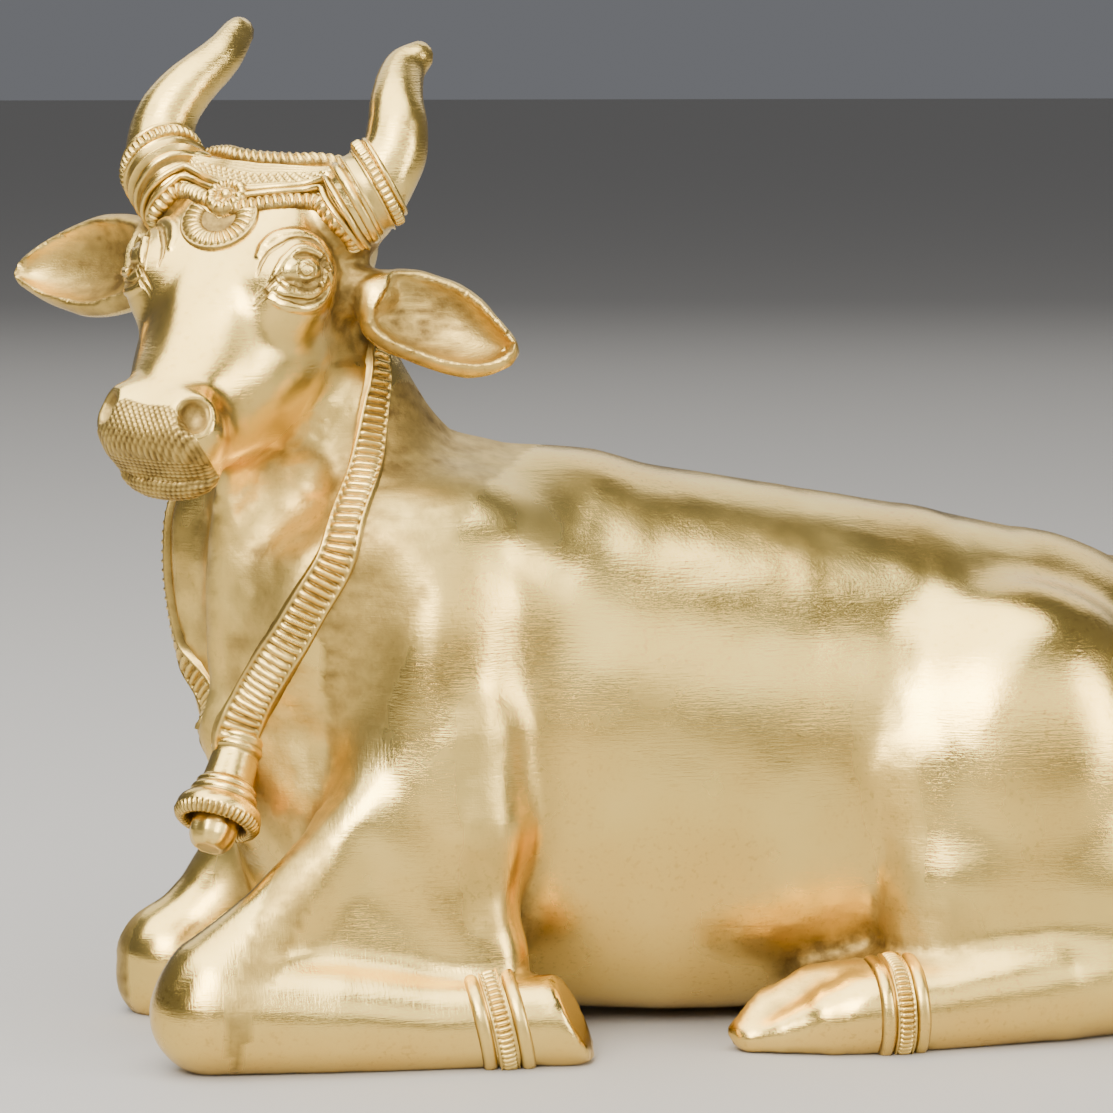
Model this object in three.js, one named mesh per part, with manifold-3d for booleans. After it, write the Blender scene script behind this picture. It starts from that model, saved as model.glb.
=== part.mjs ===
import * as THREE from 'three';
import Module from 'manifold-3d';

// Reclining sacred bull (Nandi), one hollow brass casting with its chain, bell, rings and diadem.
// Millimetres, +Z up. The body lies along X with the chest toward -X, the head turned toward -Y,
// the rump toward +X. The soles and the belly rest on z = 0.

// Grid of the skin, triangles kept for the bare body and for the whole casting, and the place of the origin
const GRID = 1.5;
const BODY_TRIANGLES = 5000;
const ALL_TRIANGLES = 9500;
const CENTRE_X = 17.0;
const CENTRE_Y = 0.0;

// Head: where the poll is, how far the head is turned, how steeply the face falls, its sideways tilt
const POLL = [-56.7, -10.3, 164.4];
const HEAD_TURN = 37.5;
const FACE_FALL = 51.0;
const HEAD_TILT = -3.6;

// Height of the flat belly over the soles
const BELLY_Z = 1.3;

const wasm = await Module();
wasm.setup();

// Small vector helpers
const add = (a, b) => [a[0] + b[0], a[1] + b[1], a[2] + b[2]];
const sub = (a, b) => [a[0] - b[0], a[1] - b[1], a[2] - b[2]];
const mul = (a, s) => [a[0] * s, a[1] * s, a[2] * s];
const dot = (a, b) => a[0] * b[0] + a[1] * b[1] + a[2] * b[2];
const cross = (a, b) => [a[1] * b[2] - a[2] * b[1], a[2] * b[0] - a[0] * b[2], a[0] * b[1] - a[1] * b[0]];
const size = (a) => Math.hypot(a[0], a[1], a[2]);
const unit = (a) => mul(a, 1 / size(a));
const rad = (d) => (d * Math.PI) / 180;

// Clay: every lump is a signed distance, joined to the others with a fillet
const smin = (a, b, k) => {
  const h = Math.max(k - Math.abs(a - b), 0) / k;
  return Math.min(a, b) - h * h * k * 0.25;
};
const smax = (a, b, k) => -smin(-a, -b, k);

// A tapered rod through points [x, y, z, radius]
function rod(points, k = 2, cut = false) {
  const lo = [1e9, 1e9, 1e9];
  const hi = [-1e9, -1e9, -1e9];
  const big = Math.max(...points.map((p) => p[3]));
  for (const p of points) {
    for (let i = 0; i < 3; i++) {
      lo[i] = Math.min(lo[i], p[i] - big);
      hi[i] = Math.max(hi[i], p[i] + big);
    }
  }
  const dist = (x, y, z) => {
    let d = 1e9;
    for (let i = 0; i + 1 < points.length; i++) {
      const a = points[i];
      const b = points[i + 1];
      const bx = b[0] - a[0];
      const by = b[1] - a[1];
      const bz = b[2] - a[2];
      const px = x - a[0];
      const py = y - a[1];
      const pz = z - a[2];
      const t = Math.min(Math.max((px * bx + py * by + pz * bz)
        / (bx * bx + by * by + bz * bz + 1e-9), 0), 1);
      const e = Math.hypot(px - t * bx, py - t * by, pz - t * bz) - (a[3] + (b[3] - a[3]) * t);
      if (e < d) d = e;
    }
    return d;
  };
  return { dist, lo, hi, k, cut };
}

// An ellipsoid with half axes, lifted at its +x end by pitch degrees
function egg(c, r, k = 8, pitch = 0, cut = false) {
  const cp = Math.cos(rad(pitch));
  const sp = Math.sin(rad(pitch));
  const ext = [Math.hypot(cp * r[0], sp * r[2]), r[1], Math.hypot(sp * r[0], cp * r[2])];
  const dist = (x, y, z) => {
    const px = x - c[0];
    const pz = z - c[2];
    const a = (px * cp + pz * sp) / r[0];
    const b = (y - c[1]) / r[1];
    const e = (-px * sp + pz * cp) / r[2];
    const k0 = Math.hypot(a, b, e);
    const k1 = Math.hypot(a / r[0], b / r[1], e / r[2]) + 1e-9;
    return (k0 * (k0 - 1)) / k1;
  };
  return { dist, lo: sub(c, ext), hi: add(c, ext), k, cut };
}

// A rounded triangular web of flesh
function web(a, b, c, r, k = 4) {
  const ba = sub(b, a);
  const cb = sub(c, b);
  const ac = sub(a, c);
  const n = cross(ba, ac);
  const nba = cross(ba, n);
  const ncb = cross(cb, n);
  const nac = cross(ac, n);
  const edge = (v, w) => {
    const t = Math.min(Math.max(dot(v, w) / dot(w, w), 0), 1);
    const q = sub(v, mul(w, t));
    return dot(q, q);
  };
  const dist = (x, y, z) => {
    const pa = [x - a[0], y - a[1], z - a[2]];
    const pb = [x - b[0], y - b[1], z - b[2]];
    const pc = [x - c[0], y - c[1], z - c[2]];
    const s = Math.sign(dot(nba, pa)) + Math.sign(dot(ncb, pb)) + Math.sign(dot(nac, pc));
    if (s < 2) return Math.sqrt(Math.min(edge(pa, ba), edge(pb, cb), edge(pc, ac))) - r;
    const f = dot(n, pa);
    return Math.sqrt((f * f) / dot(n, n)) - r;
  };
  const lo = [0, 1, 2].map((i) => Math.min(a[i], b[i], c[i]) - r);
  const hi = [0, 1, 2].map((i) => Math.max(a[i], b[i], c[i]) + r);
  return { dist, lo, hi, k, cut: false };
}

// A form made narrower across the body
function squash(form, s) {
  const dist = (x, y, z) => form.dist(x, y / s, z) * Math.sqrt(s);
  const lo = [form.lo[0], form.lo[1] * s, form.lo[2]];
  const hi = [form.hi[0], form.hi[1] * s, form.hi[2]];
  return { dist, lo, hi, k: form.k, cut: form.cut };
}

// A smooth curve through the rows of a table; the first column is the place along it
function curve(rows) {
  const n = rows.length;
  const slope = rows.map((row, i) => {
    const a = rows[Math.max(i - 1, 0)];
    const b = rows[Math.min(i + 1, n - 1)];
    return row.map((_, j) => (b[j] - a[j]) / (b[0] - a[0]));
  });
  return (x) => {
    const v = Math.min(Math.max(x, rows[0][0]), rows[n - 1][0]);
    let i = 0;
    while (i < n - 2 && rows[i + 1][0] <= v) i++;
    const h = rows[i + 1][0] - rows[i][0];
    const t = (v - rows[i][0]) / h;
    const out = [];
    for (let j = 1; j < rows[0].length; j++) {
      out.push(
        (2 * t ** 3 - 3 * t ** 2 + 1) * rows[i][j] + (t ** 3 - 2 * t ** 2 + t) * h * slope[i][j]
        + (3 * t ** 2 - 2 * t ** 3) * rows[i + 1][j] + (t ** 3 - t ** 2) * h * slope[i + 1][j],
      );
    }
    return out;
  };
}

// The skull: along y, each row is top height, half width at the top, widest half width, its height,
// half width at the bottom, bottom height
function skull(rows, start, end, k) {
  const at = curve(rows);
  const edge = 5;
  const dist = (x, y, z) => {
    const u = Math.abs(x);
    const [wt, ut, um, wm, uj, wb] = at(y);
    const side = (u0, w0, u1, w1) => {
      const du = u1 - u0;
      const dw = w1 - w0;
      return ((u - u0) * -dw + (z - w0) * du) / Math.hypot(du, dw);
    };
    let d = smax(z - wt, side(ut, wt, um, wm), edge);
    d = smax(d, side(um, wm, uj, wb), edge * 1.6);
    d = smax(d, wb - z, edge * 1.4);
    d = smax(d, y - end, 4);
    return smax(d, start - y, 4);
  };
  return { dist, lo: [-26, start - 2, -42], hi: [26, end + 2, 12], k, cut: false };
}

// The neck: a stack of ellipses up z, each row is centre x, centre y, half depth, half width, turn
function column(rows, k) {
  const at = curve(rows);
  const z0 = rows[0][0];
  const z1 = rows[rows.length - 1][0];
  const dist = (x, y, z) => {
    const [cx, cy, a, b, turn] = at(z);
    const c = Math.cos(rad(turn));
    const s = Math.sin(rad(turn));
    const f = -(x - cx) * c - (y - cy) * s;
    const l = (x - cx) * s - (y - cy) * c;
    const k0 = Math.hypot(f / a, l / b);
    const k1 = Math.hypot(f / (a * a), l / (b * b)) + 1e-6;
    let d = k0 < 1e-3 ? -Math.min(a, b) : (k0 * (k0 - 1)) / k1;
    d = smax(d, z - z1, 6);
    return smax(d, z0 - z, 6);
  };
  const m = Math.max(...rows.map((r) => Math.max(r[3], r[4]))) + 1;
  const lo = [Math.min(...rows.map((r) => r[1])) - m, Math.min(...rows.map((r) => r[2])) - m, z0 - 1];
  const hi = [Math.max(...rows.map((r) => r[1])) + m, Math.max(...rows.map((r) => r[2])) + m, z1 + 1];
  return { dist, lo, hi, k, cut: false };
}

// An ear from a to b, open toward n: a thick leaf with a deep cup pressed into its open side.
// Each row is half height above and below the middle, from one end to the other
const EAR_HALF = 5.4;
const EAR_BACK = 3.6;
const CUP_DEPTH = 6;
const CUP_SHARE = 0.8;
function leaf(a, b, n, rows, k) {
  const length = size(sub(b, a));
  const e1 = unit(sub(b, a));
  const e3 = unit(sub(n, mul(e1, dot(n, e1))));
  const e2 = cross(e3, e1);
  const at = curve(rows);
  const last = rows[rows.length - 1][0];
  const bowl = (s, m, h, t) => {
    const k0 = Math.hypot(s / h, m / t);
    const k1 = Math.hypot(s / (h * h), m / (t * t)) + 1e-6;
    return (k0 * (k0 - 1)) / k1;
  };
  const dist = (x, y, z) => {
    const p = [x - a[0], y - a[1], z - a[2]];
    const q = dot(p, e1);
    const s = dot(p, e2);
    const m = dot(p, e3);
    const [up, down] = at(q / length);
    const half = EAR_HALF * Math.min(Math.max(Math.min(up, down) / 6, 0.4), 1);
    let d = bowl(s, m + EAR_BACK * (half / EAR_HALF), s > 0 ? up : down, half);
    const inner = 0.5 + (q / length - 0.5) / 0.86;
    const [innerUp, innerDown] = at(inner);
    const reach = 1 - ((q / length - 0.48) / 0.46) ** 2;
    if (reach > 0) {
      const share = CUP_SHARE * (s > 0 ? innerUp : innerDown);
      d = smax(d, -bowl(s, m - 0.3, Math.max(share, 0.8), Math.max(CUP_DEPTH * Math.sqrt(reach), 0.8)), 1);
    }
    d = smax(d, q - length * last, 2);
    d = smax(d, length * rows[0][0] - q, 2);
    return d * 0.8;
  };
  const c = mul(add(a, b), 0.5);
  const reach = length / 2 + 6;
  return { dist, lo: sub(c, [reach, reach, reach]), hi: add(c, [reach, reach, reach]), k, cut: false };
}

// A form cut off by a plane with a rounded edge: what lies beyond the plane through p, facing n, goes
function shorn(form, p, n, k) {
  const away = unit(n);
  const level = dot(p, away);
  return { ...form, dist: (x, y, z) =>
    smax(form.dist(x, y, z), x * away[0] + y * away[1] + z * away[2] - level, k) };
}

// Distance to a list of forms
const FAR = 12;
function field(forms, x, y, z) {
  let d = FAR;
  for (const f of forms) {
    const m = f.cut ? f.k + 1 : f.k + 6;
    if (x < f.lo[0] - m || x > f.hi[0] + m || y < f.lo[1] - m || y > f.hi[1] + m) continue;
    if (z < f.lo[2] - m || z > f.hi[2] + m) continue;
    const e = f.dist(x, y, z);
    d = f.cut ? smax(d, -e, f.k) : smin(d, e, f.k);
  }
  return d;
}

// Slope of a list of forms, and a point drawn onto their surface
function slope(p, forms = animal) {
  const e = 0.05;
  const d = (x, y, z) => field(forms, x, y, z);
  return [
    (d(p[0] + e, p[1], p[2]) - d(p[0] - e, p[1], p[2])) / (2 * e),
    (d(p[0], p[1] + e, p[2]) - d(p[0], p[1] - e, p[2])) / (2 * e),
    (d(p[0], p[1], p[2] + e) - d(p[0], p[1], p[2] - e)) / (2 * e),
  ];
}
function settle(p, steps = 3, limit = 1.5, forms = animal) {
  let q = p;
  for (let i = 0; i < steps; i++) {
    const g = slope(q, forms);
    const step = field(forms, ...q) / Math.max(dot(g, g), 0.05);
    q = sub(q, mul(g, Math.min(Math.max(step, -limit), limit)));
  }
  return q;
}

// Head frames: heading (across, ahead, up) and face (across, down the face, out of the face)
const turn = rad(HEAD_TURN);
const ahead = [-Math.sin(turn), -Math.cos(turn), 0];
const level = cross([0, 0, 1], ahead);
const tilt = rad(HEAD_TILT);
const across = add(mul(level, Math.cos(tilt)), [0, 0, Math.sin(tilt)]);
const upward = sub([0, 0, Math.cos(tilt)], mul(level, Math.sin(tilt)));
const fall = rad(FACE_FALL);
const downFace = sub(mul(ahead, Math.cos(fall)), mul(upward, Math.sin(fall)));
const outFace = add(mul(ahead, Math.sin(fall)), mul(upward, Math.cos(fall)));
const inFrame = (axes, v) => add(add(mul(axes[0], v[0]), mul(axes[1], v[1])), mul(axes[2], v[2]));
const HEADING = [across, ahead, upward];
const FACE = [across, downFace, outFace];
const headPoint = (o, f, z) => add(POLL, inFrame(HEADING, [o, f, z]));
const headVector = (o, f, z) => inFrame(HEADING, [o, f, z]);
const facePoint = (u, v, w) => add(POLL, inFrame(FACE, [u, v, w]));

// Forms given in a head frame, made on both sides
function paired(forms, axes, k, reach) {
  const dist = (x, y, z) => {
    const p = [x - POLL[0], y - POLL[1], z - POLL[2]];
    return field(forms, Math.abs(dot(p, axes[0])), dot(p, axes[1]), dot(p, axes[2]));
  };
  return { dist, lo: sub(POLL, [reach, reach, reach]), hi: add(POLL, [reach, reach, reach]), k, cut: false };
}

// Barrel of the body, chest to rump, with the fuller belly under it, flat beneath
const barrel = [
  squash(rod([[-18, 0, 63, 42], [5, 0, 58.5, 48], [35, 0, 53, 48.5],
    [62, 0, 50.5, 46.5], [86, 0, 48.2, 43.7]]), 0.84),
  egg([96, 0, 43], [34, 37, 39.5], 10),
  squash(rod([[-22, 0, 36, 33], [20, 0, 38, 38.5], [60, 0, 38, 38], [95, 0, 34, 34]], 10), 0.93),
];
const torso = [{
  dist: (x, y, z) => smax(field(barrel, x, y, z), BELLY_Z - z, 3),
  lo: [-60, -48, 0],
  hi: [140, 48, 112],
  k: 8,
  cut: false,
}];

// Neck, rising and turning with the head, and the slope of the withers behind it
const NECK = [
  [16, -38, 0, 15, 22, 0],
  [36, -40.5, 0, 19, 26, 5],
  [56, -47, -2, 18.8, 25, 12],
  [76, -53, -4, 17.6, 24, 24],
  [96, -54.8, -4.2, 17, 20.5, 36],
  [110, -52.2, -4, 16.5, 16, 42],
  [120, -51, -4.5, 15.5, 13, 45],
  [130, -51, -6.5, 13.5, 12, 48],
  [142, -52.5, -9, 12.5, 13.5, 51],
  [150, -53, -9, 12, 13, 52],
];
const neck = [
  column(NECK, 14),
  rod([[-43.2, -2.5, 118.5, 12], [-32, -1, 98, 16], [-11, 0, 82.5, 24.5]], 15),
];

// Dewlap: the thin keel of skin from the throat down to the brisket
const dewlap = [
  web([-66, -24, 112], [-65.5, -13, 58], [-52, -8, 88], 2.2, 7),
  rod([[-65.5, -13, 60, 2.6], [-61, -7, 44, 4]], 8),
];

// A hollow along places near the skin of some forms, pressed in by a depth
function pressed(points, forms, r, depth, k) {
  return rod(points.map((p) => {
    const q = settle(p, 4, 3, forms);
    const n = unit(slope(q, forms));
    return [...add(q, mul(n, r - depth)), r];
  }), k, true);
}

// A hoof: the end of the leg, shorn off at a slant in front
const hoof = (a, b, toe, out, k) => shorn(rod([a, b], k), toe, [0.885, out, 0.465], 1.2);

// Forelegs, both folded under the chest with the knee forward; skin runs from the elbow down to the shank
const farForeleg = [
  egg([-33, 24, 74], [17, 15, 27], 14, -70),
  rod([[-34, 25, 62, 14], [-22, 36, 32, 11]], 12),
  web([-34, 28, 64], [-20, 38, 30], [-62, 20, 20], 7.5, 8),
  web([-20, 37, 34], [-22, 34, 14], [-58, 22, 16], 6, 6),
  rod([[-42, 24, 56, 8], [-52, 21, 33, 8], [-63, 18, 19, 8], [-71, 17, 11.5, 9.8]], 6),
  rod([[-72.3, 17, 9.4, 10.4], [-73, 17, 7, 9.6], [-50, 21, 8.6, 9.4],
    [-25, 32, 7.6, 8.4], [-14, 34, 7.4, 8]], 3),
  hoof([-16, 34, 7.6, 8.2], [-8, 35, 7.6, 8.4], [-6.5, 35, 9.6], 0.2, 3),
];
const nearForeleg = [
  egg([-32, -24, 84], [19, 14, 24], 16, -75),
  rod([[-30, -27, 74, 13], [-26, -32, 58, 12], [-24, -35, 44, 10.5]], 10),
  web([-34, -27, 72], [-25, -32.5, 58], [-41, -33, 44], 7, 8),
  web([-25, -32.5, 58], [-21.5, -37.5, 18], [-41, -33, 44], 7, 7),
  web([-41, -33, 44], [-21.5, -37.5, 18], [-66, -37, 18], 6.5, 6),
  rod([[-39, -25, 76, 5.5], [-41.5, -29.5, 61, 6], [-44, -33, 48, 6], [-50, -36, 37, 6],
    [-60, -38, 27, 6.5], [-70.5, -39.5, 16.5, 9.5]], 4),
  rod([[-72, -40, 10.7, 11.3], [-50, -42, 9.4, 10.4], [-34, -43.5, 8, 8.8], [-16, -44.5, 7.5, 8.1]], 3),
  hoof([-16, -44.5, 7.6, 8.2], [-8, -45, 7.6, 8.6], [-6.5, -45, 9.6], -0.29, 1),
];

// Hind legs, drawn forward along the belly; side is -1 for the near one and 1 for the far one
const hindLeg = (side) => [
  egg([83, side * 27.5, 46], [31, 22.5, 38], 6),
  rod([[60, side * 17, 78, 11], [61, side * 21.5, 66, 15.5],
    [63.5, side * 26, 50, 18], [70, side * 28, 33, 19.5]], 2.2),
  rod([[68, side * 34, 27, 13.5], [98, side * 34, 27, 17]], 6),
  rod([[64, side * 38, 17, 8.5], [100, side * 38, 18, 10]], 6),
  rod([[110, side * 36, 13.2, 14], [85, side * 43, 10.3, 11], [62, side * 46, 7.6, 8.4],
    [48, side * 46.5, 7.2, 7.8]], 4),
  web([40, side * 38, 8], [62, side * 36, 12], [46, side * 28, 10], 4.5, 5),
  web([62, side * 36, 12], [100, side * 34, 18], [66, side * 26, 14], 5, 5),
  rod([[50, side * 47, 7.4, 7.8], [42, side * 47, 6, 6.8], [33, side * 46, 3.6, 3.8],
    [27.5, side * 44.5, 2.4, 2.4]], 2),
  rod([[54, side * 42, 12, 4.2], [40, side * 41, 11.5, 3.6], [31, side * 41, 8, 3],
    [26, side * 42, 3.6, 2.6]], 3),
];

// Hollows under the jaw, in front of the shoulder by the chain, and beside the keel of the neck
const flesh = [...torso, ...neck, ...dewlap, ...nearForeleg, ...hindLeg(-1)];
const hollows = [
  rod([[-52, -23, 105.5, 4], [-56, -27, 103.5, 7], [-62, -32, 100.5, 8]], 4, true),
  pressed([[-42.5, -34, 82], [-48, -33, 70], [-55, -30, 58]], flesh, 10, 2.2, 9),
  pressed([[-70, -9, 104], [-69.5, -8, 90], [-68.5, -7, 76], [-67.5, -8, 66]], flesh, 7.5, 2.8, 3),
];

// Tail: from the croup down over the rump and the far thigh, laid on the skin, its tuft by the far hock
const rump = [...torso, ...hindLeg(1)];
const onRump = (p, r) => [...settle(p, 4, 4, rump), r];
const tail = [
  rod([onRump([112, 0, 84], 1), onRump([120, 2, 77], 2.6), onRump([127, 5, 68], 3.6),
    onRump([131, 9, 60], 3.8), onRump([132, 17, 50], 3.5),
    onRump([126, 28, 38], 3.3), onRump([116, 42, 31], 3.3), onRump([104, 52, 30], 3.4)], 2.5),
  rod([onRump([104, 52, 30], 3.4), onRump([96, 54, 28], 5),
    onRump([87, 54, 25], 4.6), onRump([78, 52, 22], 1.6)], 2.5),
];

// Skull in the face frame, poll at 0
const SKULL = [
  [-6, -5, 8, 15.5, -12, 12, -26],
  [2, -0.8, 9.5, 17.5, -9.5, 14, -30],
  [12, 2.9, 11, 18.6, -8.5, 12, -34],
  [24, 2.8, 10, 19, -9, 13, -38],
  [34, 2.4, 7.6, 18.6, -10.5, 13.4, -38.5],
  [43, 2.2, 5.8, 16.4, -8.5, 12, -31.5],
  [51, 2.4, 6, 13.6, -7.5, 10, -24.5],
  [58, 2.2, 6.4, 12.2, -6.5, 8.8, -18.5],
  [66, 1, 7, 11.4, -6, 7.8, -14.5],
];
const face = [
  skull(SKULL, -4, 65, 7),
  egg([13.5, 25, -5], [7, 9.5, 7.5], 5),
  egg([0, 59, -4.8], [11.6, 5.8, 6.4], 5),
  egg([0, 62.8, -12], [9.4, 5.4, 4.6], 2.5),
];

// Height of the face above an inclined plane at a place, so that lids and folds follow the skin
function onFace(p, n) {
  let a = 9;
  while (a > -9 && field(face, ...add(p, mul(n, a))) > 0) a -= 0.25;
  return add(p, mul(n, a + 0.12));
}

// Eye: places across and up from the pupil, in the plane of the eye
const EYE = [16.2, 25, -0.5];
const eyeOut = unit([0.82, 0.15, 0.55]);
const eyeUp = unit(sub([0, -0.777, 0.629], mul(eyeOut, dot(eyeOut, [0, -0.777, 0.629]))));
const eyeSide = cross(eyeOut, eyeUp);
const eyePoint = (s, t, lift = 0) => {
  const p = add(EYE, add(mul(eyeSide, s), mul(eyeUp, t)));
  return add(onFace(p, eyeOut), mul(eyeOut, lift));
};
function fold(points, r, lift, k, cut) {
  const last = points.length - 1;
  const tapered = (i) => (i === 0 || i === last ? r * 0.35 : r);
  return rod(points.map(([s, t], i) => [...eyePoint(s, t, lift), tapered(i)]), k, cut);
}
const eyes = [
  rod([[...eyePoint(0.1, 0.3, -0.2), 4.2], [...eyePoint(0.5, 0.3, -0.2), 4.2]], 1.4, true),
  fold([[-6.6, -4.2], [-4.6, -0.4], [-2.6, 2.2], [0.3, 4.4], [3.2, 3.8],
    [5.4, 1.1], [6.8, -2.4]], 1.1, 0.1, 1, false),
  fold([[-4.8, -1.4], [-3, -3.3], [0.3, -4.1], [2.9, -3.2], [4.7, -1.1]], 1, 0, 1, false),
  fold([[-7.4, 1.6], [-5, 5.4], [-1.8, 7.8], [1.7, 8.2], [5.1, 6.9], [7.2, 4]], 1, -0.1, 1.2, false),
  rod([[...eyePoint(-1.2, 0.1, -2.4), 3.1], [...eyePoint(1.6, 0.2, -2.5), 3.1]], 0.6),
];

// Nostril: a round dimple in a low swelling of the nose; and the groove of the mouth
const noseOut = unit([0.62, 0.3, 0.72]);
const noseUp = unit(sub([0, -0.9, 0.3], mul(noseOut, dot(noseOut, [0, -0.9, 0.3]))));
const noseSide = cross(noseOut, noseUp);
const nosePoint = (s, t, lift) =>
  add(onFace(add([8.2, 58.4, 0], add(mul(noseSide, s), mul(noseUp, t))), noseOut), mul(noseOut, lift));
const nostril = [
  rod([[...nosePoint(0, -0.4, -1.6), 3.6], [...nosePoint(0, 0.4, -1.6), 3.6]], 2.5),
  rod([[...nosePoint(0, -0.4, 1.2), 2.9], [...nosePoint(0, 0.4, 1.2), 2.9]], 0.8, true),
];
const mouth = [
  rod([[0, 67, -8.4, 0.9], [5, 66.8, -9, 0.9], [9.6, 65, -10.6, 0.8], [12.5, 60.5, -12.6, 0.4]], 0.8, true),
];

// Horns and the poll between them, in the heading frame; the near tip is the shorter one
const HORN = [
  [0, 19, -0.6, -8.2, 7.6],
  [1, 22.6, -1.2, -3.6, 6.8],
  [2, 24.4, -3.6, 1.6, 6.1],
  [3, 23.9, -5.6, 6.4, 5.6],
  [4, 21.8, -8.8, 11, 4.9],
  [5, 19.4, -15.4, 16.4, 4],
];
const NEAR_TIP = [6, 20.9, -18.2, 19.2, 2.9];
const FAR_TIP = [6, 19.2, -21.6, 21.2, 3];
const hornAt = (side) => curve([...HORN, side > 0 ? NEAR_TIP : FAR_TIP]);
function horn(side) {
  const at = hornAt(side);
  const points = [[...headPoint(side * 13, -3, -11), 8.6]];
  for (let i = 0; i <= 24; i++) {
    const [o, f, z, r] = at(i / 4);
    points.push([...headPoint(side * o, f, z), r]);
  }
  return rod(points, 2.5);
}
const horns = [
  rod([[...headPoint(-15, -4.5, -9.5), 7.6], [...headPoint(0, -5, -10), 8],
    [...headPoint(15, -4.5, -9.5), 7.6]], 5),
  horn(1),
  horn(-1),
];

// Ears: half height on either side of the middle from root to tip
const NEAR_EAR = [[-0.1, 7, 5.5], [0, 8, 7.2], [0.15, 8.8, 7.8], [0.3, 9, 8], [0.45, 8.9, 8], [0.62, 7.6, 7.8],
  [0.78, 5.2, 6.8], [0.9, 3.4, 5.5], [1, 1.6, 3.2]];
const FAR_EAR = [[-0.05, 8, 8.4], [0, 8.2, 8.8], [0.15, 9, 10.4], [0.28, 9.3, 11], [0.42, 8.9, 11.2], [0.57, 7.6, 10.2],
  [0.75, 5.8, 8.1], [0.9, 3.4, 5], [1, 1.6, 2]];
const ears = [
  rod([[...headPoint(14, -3, -23), 5], [...headPoint(23, -1.5, -24), 4]], 4),
  leaf(headPoint(25.1, 1, -24.4), headPoint(51.5, -4, -31.6), headVector(0.55, 0.82, 0.38), NEAR_EAR, 2),
  rod([[...headPoint(-14, -3, -20), 5], [...headPoint(-23, -1.5, -21), 4]], 4),
  leaf(headPoint(-26.7, 1, -21.4), headPoint(-57, -6, -26.7), headVector(-0.1, 0.87, 0.38), FAR_EAR, 2),
];

const animal = [
  ...torso,
  ...neck,
  ...dewlap,
  ...farForeleg,
  ...nearForeleg,
  ...hindLeg(1),
  ...hindLeg(-1),
  ...hollows,
  ...tail,
  paired([...face, ...eyes, ...nostril, ...mouth], FACE, 5, 95),
  ...horns,
  ...ears,
];

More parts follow.
